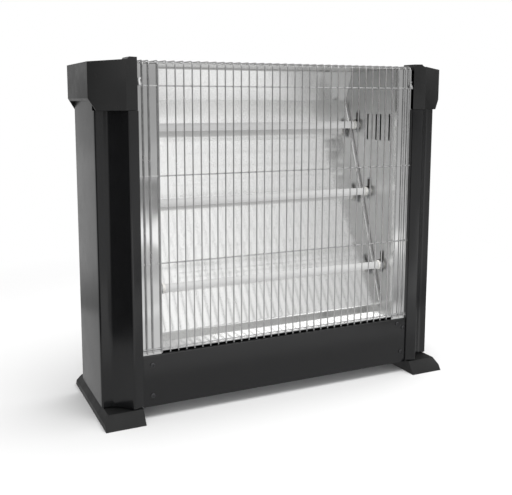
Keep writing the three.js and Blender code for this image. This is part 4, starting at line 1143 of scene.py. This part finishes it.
class HEATER_OT_guard(Maker, bpy.types.Operator):
    """Make the wire guard with its weld spots"""

    bl_idname = "heater.guard"
    bl_label = "Wire guard"

    opening_half = 230.4 * MM
    gaps = 32
    flange_shares = (0.44, 0.74)
    first_row_drop = 33.6 * MM
    low_row_rise = 8.3 * MM
    double_row_gap = 2.8 * MM
    row_shares = (0, 1 / 3, 2 / 3, 1)
    top_rise = 1.5 * MM
    weld = 0.3 * MM
    bend_steps = 7
    upright_shares = (0.3, 0.6)
    cross_places = 5
    wire_sides = 10
    spot_rings = 5
    spot_sides = 8
    spot_flat_share = 0.8

    def columns(self):
        """Places of the upright wires along the width."""
        even = np.linspace(-CAVITY_HALF, CAVITY_HALF, self.gaps + 1)
        flange = self.opening_half - CAVITY_HALF
        beside = CAVITY_HALF + np.array(self.flange_shares) * flange
        return np.sort(np.concatenate([even, beside, -beside]))

    def execute(self, context):
        node = "wire_guard"
        sizes = self.sizes
        low, high = low_high(node)
        radius = sizes.wire_radius
        centre_y = low[1] + radius
        top_z = high[2] - radius + self.top_rise
        section = [[centre_y, low[2]], [centre_y, top_z], [high[1], top_z]]
        path = rounded_path(section, sizes.guard_bend, self.bend_steps)
        between = [[centre_y, low[2] + (top_z - low[2]) * t] for t in self.upright_shares]
        path = np.insert(path, 1, between, 0)
        wires = []
        for x in self.columns():
            line = np.column_stack([np.full(len(path), x), path])
            wires.append(along_path(line, X_AXIS, radius, self.wire_sides))
        first_row = high[2] - self.first_row_drop
        low_row = BASE_TOP + self.low_row_rise
        rows = [first_row + (low_row - first_row) * share for share in self.row_shares]
        rows.append(low_row - self.double_row_gap)
        places = [(centre_y + 2 * radius - self.weld, z) for z in rows]
        places.append((high[1] - 3 * radius, top_z - 2 * radius + self.weld))
        for y, z in places:
            line = np.array([[x, y, z] for x in np.linspace(low[0], high[0], self.cross_places)])
            wires.append(along_path(line, Z_AXIS, radius, self.wire_sides))
        # A weld spot is a small ball half way between the two wires, longer along the width
        arc = np.linspace(0, np.pi, self.spot_rings)
        circle = np.column_stack([np.sin(arc), np.cos(arc)]) * sizes.weld_radius
        ball, ball_quads = turned(circle, self.spot_sides)
        ball = ball * (1, self.spot_flat_share, self.spot_flat_share)
        spots = []
        for x in self.columns():
            for y, z in places:
                upright = z < top_z - radius
                seat = (x, (centre_y + y) / 2, z) if upright else (x, y, (z + top_z) / 2)
                spots.append((ball + seat, ball_quads))
        new_piece(f"{node}_wires", several(wires + spots), [node], "wire_chrome", angle=WIRE_EDGE)
        return {"FINISHED"}


class HEATER_OT_tubes(Maker, bpy.types.Operator):
    """Make the quartz tubes with their heating wires"""

    bl_idname = "heater.tubes"
    bl_label = "Quartz tubes and heating wires"

    wall = 1.6 * MM
    coil_radius = 2.9 * MM
    pin_radius = 1.4 * MM
    end_gap = 6 * MM
    coil_steps = 12
    rim_steps = 7
    wire_sides = 6
    pin_sides = 16
    arm_places = 4
    pin_start_share = 0.8
    pin_end_share = 0.6

    def tube(self, low, high):
        """Glass tube: a wall profile with rounded rims turned round the tube's axis."""
        outer = (high[2] - low[2]) / 2
        half = (high[0] - low[0]) / 2
        rim = self.wall / 2
        arc = np.linspace(0, np.pi, self.rim_steps)
        end = np.column_stack([outer - rim + rim * np.cos(arc), half - rim + rim * np.sin(arc)])
        profile = np.vstack([end, (end * (1, -1))[::-1]])
        return turned(profile, self.sizes.round_sides, closed=True)

    def wire(self, half, pin_half):
        """Heating wire: a small circle carried along a helix, with an arm and a pin at each end.

        Centre of the circle: R (cos t, sin t) across the axis and pitch * t / (2 pi) along it.
        """
        wire, pitch = self.sizes.coil_wire, self.sizes.coil_pitch
        turns = int(2 * half / pitch)
        t = np.linspace(0, 2 * np.pi * turns, turns * self.coil_steps + 1)
        radial = np.column_stack([np.cos(t), np.sin(t), np.zeros_like(t)])
        centre = self.coil_radius * radial
        centre[:, 2] = np.linspace(-half, half, len(t))
        sides = self.wire_sides
        phase = np.linspace(0, 2 * np.pi, sides, endpoint=False)[None, :, None]
        ring = np.cos(phase) * radial[:, None, :] + np.sin(phase) * Z_AXIS
        ends = np.repeat(centre[[0, -1]][:, None, :], sides, axis=1)
        points = np.concatenate([ends[:1], centre[:, None, :] + wire * ring, ends[1:]])
        index = wrapped(np.arange(len(points) * sides).reshape(-1, sides), False, True)
        parts = [(points.reshape(-1, 3), grid_quads(index))]
        pin = self.pin_radius
        start, end = half - pitch, pin_half
        profile = np.array(
            [
                [0, start],
                [pin * self.pin_start_share, start],
                [pin, start + pin],
                [pin, end - pin / 2],
                [pin * self.pin_end_share, end],
                [0, end],
            ]
        )
        arm = np.linspace((0, 0, half), (self.coil_radius, 0, half), self.arm_places)
        for sign in (1, -1):
            parts.append(turned(profile * (1, sign), self.pin_sides))
            parts.append(along_path(arm * (1, 1, sign), Z_AXIS, wire, sides))
        return several(parts)

    def execute(self, context):
        for level in LEVELS:
            tube, coil = f"quartz_tube_{level}", f"heating_coil_{level}"
            low, high = low_high(tube)
            points, quads = self.tube(low, high)
            centre = (low + high) / 2
            glass = turned_to(points, "+X", centre), quads
            new_piece(f"{tube}_glass", glass, [tube], "milky_quartz", angle=WIRE_EDGE)
            pin_half = low_high(coil)[1][0]
            points, quads = self.wire((high[0] - low[0]) / 2 - self.end_gap, pin_half)
            spiral = turned_to(points, "+X", centre), quads
            new_piece(f"{coil}_spiral", spiral, [coil], "coil_alloy", angle=WIRE_EDGE)
        return {"FINISHED"}


class HEATER_OT_holders(Maker, bpy.types.Operator):
    """Make the ceramic holders and their steel clips"""

    bl_idname = "heater.holders"
    bl_label = "Ceramic holders and clips"

    mouth_radius = 6.3 * MM
    body_length = 10 * MM
    neck_radius = 5.5 * MM
    pin_radius = 1.8 * MM
    seat = 7 * MM
    edge = 0.8 * MM
    edge_steps = 4

    def execute(self, context):
        for level in LEVELS:
            for side_name, side in SIDES.items():
                node = f"ceramic_holder_{level}_{side_name}"
                low, high = low_high(node)
                radius = (high[2] - low[2]) / 2
                depth = high[0] - low[0]
                outline = [
                    [self.mouth_radius, 0],
                    [radius, 0],
                    [radius, self.body_length],
                    [self.neck_radius, self.body_length],
                    [self.neck_radius, depth],
                    [self.pin_radius, depth],
                    [self.pin_radius, self.seat],
                    [self.mouth_radius, self.seat],
                ]
                edge = self.edge
                radii = [edge / 2, edge, edge, edge / 2, edge, edge / 2, edge / 3, edge / 2]
                profile = rounded_path(outline, radii, self.edge_steps, closed=True)
                points, quads = turned(profile, self.sizes.round_sides, closed=True)
                centre = middle_of(node)
                centre[0] = low[0] if side > 0 else high[0]
                body = turned_to(points, "+X" if side > 0 else "-X", centre), quads
                new_piece(f"{node}_body", body, [node], "ceramic", angle=TURNED_EDGE)
                clip = f"tube_clip_{level}_{side_name}"
                softened_copy(clip, f"{clip}_strip", "clip_steel", self.sizes.strip_round)
        return {"FINISHED"}


class HEATER_OT_rear(Maker, bpy.types.Operator):
    """Make the slotted rear cover, the cord gland and the floor plate"""

    bl_idname = "heater.rear"
    bl_label = "Rear cover, gland and floor plate"

    slot_width = 4 * MM
    slot_length = 34 * MM
    slot_pitch = 24 * MM
    slot_count = 15
    cap_fit = 0.3 * MM
    hood_gap = 2.5 * MM
    bend_steps = 8
    place_step = 60 * MM
    bore_radius = 3.8 * MM
    neck_radius = 5.9 * MM
    lip_depth = 2.4 * MM
    # Rounding of the gland's corners in millimetres, from the inner end of its bore
    gland_rounds = (0.8, 0.9, 0.3, 0.2, 0.2, 0.4, 1.4, 1.2)
    gland_steps = 5

    def cover(self):
        """Back and top in one sheet: the section is carried along the width.

        The top ends behind the reflector's hood, where the reflector's own top covers it.
        """
        node = "rear_cover"
        low, high = low_high(node)
        front = reflector_section(self.sizes.bright_sheet).hood_head[0] + self.hood_gap
        section = [[high[1], low[2]], [high[1], high[2]], [front, high[2]]]
        path = rounded_path(section, self.sizes.cover_bend, self.bend_steps)
        far = path_length(path)
        cap_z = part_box("cap_right")[0].z
        wide_top = cap_z - self.cap_fit
        inner_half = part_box("reflector")[1].x
        low_slots = (BASE_TOP, BASE_TOP + self.slot_length)
        high_slots = (cap_z - self.slot_length, cap_z)
        breaks = np.array([*low_slots, *high_slots, wide_top]) - low[2]
        path = path_at(path, stations(far[-1], self.place_step, [*breaks, *far]))
        centres = (np.arange(self.slot_count) - (self.slot_count - 1) / 2) * self.slot_pitch
        edges = np.concatenate([centres - self.slot_width / 2, centres + self.slot_width / 2])
        sides = [low[0], high[0], inner_half, -inner_half]
        across = np.unique(np.concatenate([edges, sides]).round(DIGITS))
        middle = middles(path)
        middle_y, middle_z = middle[:, :1], middle[:, 1:]
        middle_x = middles(across)[None, :]
        slot_columns = np.any(np.abs(middle_x[..., None] - centres) < self.slot_width / 2, axis=-1)
        back_face = middle_y > high[1] - NEAR
        gone = back_face & in_ranges(middle_z, low_slots, high_slots) & slot_columns
        gone |= (np.abs(middle_x) > inner_half) & ((middle_z > wide_top) | ~back_face)
        inner = moved_path(path, self.sizes.sheet)
        faces = shell(swept(path, across, 0), swept(inner, across, 0), gone)
        new_piece(f"{node}_sheet", faces, [node], "black_steel", angle=SHEET_EDGE)

    def gland(self):
        """Snap bush: a ring profile with rounded lips turned round the depth axis."""
        node = "cord_gland"
        low, high = low_high(node)
        flange = (high[2] - low[2]) / 2
        depth = high[1] - low[1]
        bore, neck = self.bore_radius, self.neck_radius
        lip, lip_depth = (neck + flange) / 2, self.lip_depth
        outline = [
            [bore, 0],
            [lip, 0],
            [lip, lip_depth],
            [neck, lip_depth],
            [neck, depth - lip_depth],
            [flange, depth - lip_depth],
            [flange, depth],
            [bore, depth],
        ]
        radii = np.array(self.gland_rounds) * MM
        profile = rounded_path(outline, radii, self.gland_steps, closed=True)
        points, quads = turned(profile, self.sizes.round_sides, closed=True)
        centre = middle_of(node)
        centre[1] = low[1]
        ring = turned_to(points, "+Y", centre), quads
        new_piece(f"{node}_bush", ring, [node], "switch_plastic", angle=TURNED_EDGE)

    def execute(self, context):
        self.cover()
        self.gland()
        keep_node("base_floor_plate", "zinc_steel")
        return {"FINISHED"}


class HEATER_OT_switches(Maker, bpy.types.Operator):
    """Make the three rocker switches and the tip-over switch"""

    bl_idname = "heater.switches"
    bl_label = "Switches"

    def execute(self, context):
        width = self.sizes.small_round
        for number in SWITCHES:
            housing, rocker = f"switch_housing_{number}", f"switch_rocker_{number}"
            softened_copy(housing, f"{housing}_frame", "switch_plastic", width)
            body = f"rocker_{number}"
            softened_copy(rocker, f"{rocker}_key", "switch_plastic", width, body=body)
        case, plunger = "tip_switch_body", "tip_switch_plunger"
        softened_copy(case, f"{case}_case", "insulator", width)
        softened_copy(plunger, f"{plunger}_pin", "switch_plastic", width, body="tip_plunger")
        return {"FINISHED"}


class HEATER_OT_inside(Maker, bpy.types.Operator):
    """Make the terminal block, the thermal cut-out and the wiring loom"""

    bl_idname = "heater.inside"
    bl_label = "Terminal block, cut-out and loom"

    def execute(self, context):
        width = self.sizes.small_round
        softened_copy("terminal_block", "terminal_block_case", "insulator", width)
        softened_copy("thermal_cutout", "thermal_cutout_disc", "insulator", width)
        keep_node("wiring_loom", "loom_rubber")
        return {"FINISHED"}


class HEATER_OT_screws(Maker, bpy.types.Operator):
    """Make every visible screw with its cross recess"""

    bl_idname = "heater.screws"
    bl_label = "Screws"

    head_radius = 3.5 * MM
    head_height = 1.8 * MM
    shank_radius = 1.6 * MM
    arm_half = 0.42 * MM
    arm_reach = 2.0 * MM
    arm_edge = 0.2 * MM
    reach_edge = 0.5 * MM
    crown_share = 0.97
    crown_fall_share = 0.45
    crown_power = 2.4
    rim_share = 0.42
    crown_rings = 16
    sides = 40
    groups = (
        (
            "panel_screw",
            "-Y",
            ("left_upper", "left_lower", "right_upper", "right_middle", "right_lower"),
        ),
        ("cover_screw", "+Y", ("right_lower", "right_upper", "left_lower", "left_upper")),
        ("cap_screw", "+Y", ("right", "left")),
        ("foot_screw", "-Z", ("right_front", "right_back", "left_front", "left_back")),
    )

    def screw(self, shank):
        """A head and shank turned round an axis, the crown lowered inside a cross.

        Height of the crown at the radius r: h * (1 - fall * (r / R) ^ power), less the recess
        depth times a step, sloped over an edge, of the distance from the nearest arm of the cross.
        """
        rim, head, thin = self.head_radius, self.head_height, self.shank_radius
        crown = np.linspace(0, self.crown_share, self.crown_rings)
        rise = head * (1 - self.crown_fall_share * crown**self.crown_power)
        below = [[rim, head * self.rim_share], [rim, 0], [thin, 0], [thin, -shank], [0, -shank]]
        profile = np.vstack([np.column_stack([crown * rim, rise]), below])
        points, quads = turned(profile, self.sides)
        x, y = np.abs(points[:, 0]), np.abs(points[:, 1])
        narrow, wide = np.minimum(x, y), np.maximum(x, y)
        depth = np.clip((self.arm_half - narrow) / self.arm_edge + 0.5, 0, 1)
        depth *= np.clip((self.arm_reach - wide) / self.reach_edge + 0.5, 0, 1)
        top = points[:, 2] > head / 2
        points[:, 2] -= np.where(top, depth * self.sizes.screw_recess, 0)
        return points, quads

    def execute(self, context):
        for group, axis, names in self.groups:
            for name in names:
                node = f"{group}_{name}"
                low, high = low_high(node)
                k = "XYZ".index(axis[1])
                centre = middle_of(node)
                if axis[0] == "+":
                    centre[k] = high[k] - self.head_height
                else:
                    centre[k] = low[k] + self.head_height
                points, quads = self.screw(high[k] - low[k] - self.head_height)
                made = turned_to(points, axis, centre), quads
                new_piece(
                    f"{node}_steel",
                    made,
                    [node],
                    "zinc_steel",
                    material="screw_steel",
                    angle=TURNED_EDGE,
                )
        return {"FINISHED"}


class HEATER_OT_studio(Maker, bpy.types.Operator):
    """Make the floor, the soft light and the camera"""

    bl_idname = "heater.studio"
    bl_label = "Studio"

    camera_place = (-0.5186, -1.0702, 0.4577)
    yaw = math.radians(25.257)
    pitch = math.radians(7.833)
    roll = math.radians(0.117)
    lens = 52.09
    sensor = 36.0
    shift = -0.08784
    clip = (0.05, 60.0)
    floor_rings = (0.0, 1.0, 3.0, 14.0)
    floor_sides = 64
    paper = 0.52
    white_fade = (0.62, 1.15)
    top_place = (0.25, -0.25, 2.1)
    top_size = 2.2

    # Cones of directions, each with the cosines of its outer and inner edge: the softbox, the
    # ceiling's brightest part, the dark flags, and the light and dark spots painted on the floor
    softbox = ((-0.16, -0.91, 0.37), 0.66, 0.87)
    ceiling = ((0.62, -0.2, 0.76), 0.93, 0.97)
    camera_flag = ((-0.36, -0.91, 0.2), 0.92, 0.975)
    left_flag = ((-0.97, -0.22, 0.0), 0.84, 0.96)
    right_flag = ((0.86, 0.48, 0.0), 0.72, 0.93)
    spots = ((0.29, -0.957, 0.0), 0.97, 0.985)
    # Share of the light that each flag takes away, in the world and, as painted shade, on the
    # floor
    camera_dark_share = 0.72
    left_dark_share = 0.9
    right_dark_share = 0.75
    floor_dark_share = 0.92

    # Ramps of the mirrored world: where each starts and ends, along the height or the width of
    # the direction, and its levels there
    softbox_foot = (0.05, 0.19)
    softbox_side = (0.3, 0.6, 1.0, 0.72)
    horizon = (0.02, 0.12, 0.8, 1.0)
    room_rise = (0.0, 0.5)

    # Ramps of the glow painted on the floor for reflections, in metres along the width, the depth
    # or the distance from the middle. The painted pool of light gets brighter in two steps and
    # ends at its edges, and a second one lies in front of it. The floor is painted dim near the
    # heater, as painted shade, and lighter further off, with a light ring and then a dark one
    # inside the cone of spots.
    pool_left = (-0.45, -0.3, 0.0, 0.45)
    pool_step = (0.04, 0.16, 0.0, 0.55)
    pool_right = (0.45, 0.6)
    pool_front = (-1.0, -0.8)
    pool_back = (-0.62, -0.54)
    second_left = (0.12, 0.24)
    second_right = (0.8, 1.1)
    second_front = (-1.7, -1.45)
    second_back = (-1.0, -0.8)
    near_edge = (0.6, 0.68)
    near_depth = (-0.3, 0.0)
    near_front = (-0.36, -0.26, 1.5, 1.0)
    far_rise = (0.62, 1.2)
    far_fall = (4.5, 8.0, 1.0, 0.8)
    spot_start = (1.3, 1.5)
    spot_turn = (1.75, 1.95, 1.4, -0.55)
    spot_end = (2.9, 3.4, 0.0, 0.55)

    def lobe(self, graph, direction, cone):
        """1 inside a cone about a direction and 0 outside a wider one."""
        centre, edge, core = cone
        cosine = graph.node(
            "ShaderNodeVectorMath",
            {"operation": "DOT_PRODUCT"},
            {0: direction, 1: tuple(unit(np.array(centre)))},
            "Value",
        )
        return graph.ramp(cosine, edge, core)

    def band(self, graph, value, rise, fall):
        """1 between two edges: up over the first and down over the second."""
        return graph.ramp(value, *rise) * graph.ramp(value, *fall, start=1.0, end=0.0)

    def glow(self, graph, kind, strength):
        """A shader that gives off white light."""
        return graph.node(kind, None, {"Color": shade(WHITE), "Strength": strength})

    def painted_floor_glow(self, graph, place, far, studio):
        """Painted light on the floor for reflections: a glow, dim close by as painted shade, with
        painted bright pools in front and painted dark flags.
        """
        way = graph.node("ShaderNodeVectorMath", {"operation": "NORMALIZE"}, {0: place})
        x, y = graph.part(place, "X"), graph.part(place, "Y")
        pool = graph.ramp(x, *self.pool_left) + graph.ramp(x, *self.pool_step)
        pool = pool * graph.ramp(x, *self.pool_right, start=1.0, end=0.0)
        pool = pool * self.band(graph, y, self.pool_front, self.pool_back)
        second = self.band(graph, x, self.second_left, self.second_right)
        pool = pool + second * self.band(graph, y, self.second_front, self.second_back)
        flags = self.lobe(graph, way, self.left_flag) + self.lobe(graph, way, self.right_flag)
        beyond = graph.ramp(far, *self.far_rise, studio.far_floor / 2, studio.far_floor)
        beyond = beyond * (1.0 - self.floor_dark_share * flags) * graph.ramp(far, *self.far_fall)
        spots = graph.ramp(far, *self.spot_start) * graph.ramp(far, *self.spot_turn)
        spots = spots + graph.ramp(far, *self.spot_end)
        beyond = beyond * (1.0 + spots * self.lobe(graph, way, self.spots))
        near = graph.ramp(y, *self.near_depth, studio.front_floor, studio.near_floor)
        near = near * graph.ramp(y, *self.near_front)
        outside = graph.ramp(far, *self.near_edge)
        ground = near * (1.0 - outside) + beyond * outside
        return ground * (1.0 - pool) + studio.pool * pool

    def floor(self, studio):
        """A flat disc of paper: white to the camera; in reflections a glow of painted pools of
        light and painted shade stands in for it.
        """
        ring = np.array([[radius, 0.0] for radius in self.floor_rings])
        mesh = closed_mesh("studio_floor", *turned(ring, self.floor_sides))
        floor = link(bpy.data.objects.new("studio_floor", mesh))
        material = bpy.data.materials.new("studio_floor")
        material.use_nodes = True
        graph = Graph(material.node_tree)
        place = graph.place()
        far = graph.node("ShaderNodeVectorMath", {"operation": "LENGTH"}, {0: place}, "Value")
        seen = graph.node("ShaderNodeLightPath", output="Is Camera Ray")
        glossy = graph.node("ShaderNodeLightPath", output="Is Glossy Ray")
        paper = graph.node("ShaderNodeBsdfDiffuse", None, {"Color": shade(WHITE, self.paper)})
        painted_glow_level = self.painted_floor_glow(graph, place, far, studio)
        # Glossy rays see this painted glow of light and shade instead of the lit paper
        mirror = self.glow(graph, "ShaderNodeEmission", painted_glow_level)
        white = self.glow(graph, "ShaderNodeEmission", 1.0)
        lit = graph.node("ShaderNodeMixShader", None, {0: glossy, 1: paper, 2: mirror})
        share = graph.ramp(far, *self.white_fade) * seen
        mixed = graph.node("ShaderNodeMixShader", None, {0: share, 1: lit, 2: white})
        graph.node("ShaderNodeOutputMaterial", None, {"Surface": mixed})
        material.cycles.emission_sampling = "NONE"
        mesh.materials.append(material)

    def world(self, studio):
        """Soft light all round, white to the camera; reflections meet a softbox and dark flags."""
        world = bpy.data.worlds.new("studio")
        bpy.context.scene.world = world
        world.use_nodes = True
        graph = Graph(world.node_tree)
        direction = graph.node("ShaderNodeTexCoord", output="Generated")
        height, aside = graph.part(direction, "Z"), graph.part(direction, "X")
        box = self.lobe(graph, direction, self.softbox) * graph.ramp(height, *self.softbox_foot)
        front = studio.softbox * box * graph.ramp(aside, *self.softbox_side)
        above = studio.ceiling * self.lobe(graph, direction, self.ceiling)
        light = studio.mirrored_room + front + above
        for cone, dark_share in (
            (self.camera_flag, self.camera_dark_share),
            (self.left_flag, self.left_dark_share),
            (self.right_flag, self.right_dark_share),
        ):
            light = light * (1.0 - dark_share * self.lobe(graph, direction, cone))
        light = light * graph.ramp(height, *self.horizon)
        seen = graph.node("ShaderNodeLightPath", output="Is Camera Ray")
        glossy = graph.node("ShaderNodeLightPath", output="Is Glossy Ray")
        soft = graph.ramp(height, *self.room_rise) * studio.room + studio.front_light * box
        strength = seen + glossy * light + (1.0 - seen) * (1.0 - glossy) * soft
        shader = self.glow(graph, "ShaderNodeBackground", strength)
        graph.node("ShaderNodeOutputWorld", None, {"Surface": shader})

    def lamp(self, power):
        """A soft round lamp overhead, which reflections leave out."""
        data = bpy.data.lights.new("top_lamp", "AREA")
        data.shape = "DISK"
        data.size = self.top_size
        data.energy = power
        lamp = link(bpy.data.objects.new("top_lamp", data))
        lamp.location = self.top_place
        lamp.visible_glossy = False

    def camera(self):
        """The camera at the photograph's place, turned by its yaw, pitch and roll."""
        data = bpy.data.cameras.new("camera")
        data.lens = self.lens
        data.sensor_width = self.sensor
        data.shift_y = self.shift
        data.clip_start, data.clip_end = self.clip
        camera = link(bpy.data.objects.new("camera", data))
        turn = Matrix.Rotation(-self.yaw, 4, "Z")
        turn @= Matrix.Rotation(math.pi / 2 - self.pitch, 4, "X")
        turn @= Matrix.Rotation(self.roll, 4, "Z")
        camera.matrix_world = Matrix.Translation(self.camera_place) @ turn
        bpy.context.scene.camera = camera

    def execute(self, context):
        studio = context.scene.heater_studio
        self.floor(studio)
        self.world(studio)
        self.lamp(studio.top)
        self.camera()
        context.scene.view_settings.view_transform = "Standard"
        return {"FINISHED"}


STEPS = (
    HEATER_OT_posts,
    HEATER_OT_caps,
    HEATER_OT_feet,
    HEATER_OT_base_panel,
    HEATER_OT_reflector,
    HEATER_OT_side_panels,
    HEATER_OT_guard,
    HEATER_OT_tubes,
    HEATER_OT_holders,
    HEATER_OT_rear,
    HEATER_OT_switches,
    HEATER_OT_inside,
    HEATER_OT_screws,
    HEATER_OT_studio,
)


class HEATER_PT_panel(bpy.types.Panel):
    """Lists the steps that build the heater"""

    bl_idname = "HEATER_PT_panel"
    bl_label = "Radiant heater"
    bl_space_type = "VIEW_3D"
    bl_region_type = "UI"
    bl_category = "Heater"

    def draw(self, context):
        for step in STEPS:
            self.layout.operator(step.bl_idname)
        for group in (
            context.scene.heater_sizes,
            context.scene.heater_colours,
            context.scene.heater_studio,
        ):
            box = self.layout.box()
            for name in group.__annotations__:
                box.prop(group, name)


CLASSES = (HeaterSizes, HeaterColours, HeaterStudio, *STEPS, HEATER_PT_panel)


def register():
    for item in CLASSES:
        bpy.utils.register_class(item)
    bpy.types.Scene.heater_sizes = PointerProperty(type=HeaterSizes)
    bpy.types.Scene.heater_colours = PointerProperty(type=HeaterColours)
    bpy.types.Scene.heater_studio = PointerProperty(type=HeaterStudio)


def unregister():
    del bpy.types.Scene.heater_studio
    del bpy.types.Scene.heater_colours
    del bpy.types.Scene.heater_sizes
    for item in reversed(CLASSES):
        bpy.utils.unregister_class(item)


def main():
    register()
    for step in STEPS:
        group, name = step.bl_idname.split(".")
        getattr(getattr(bpy.ops, group), name)()


if __name__ == "__main__":
    main()
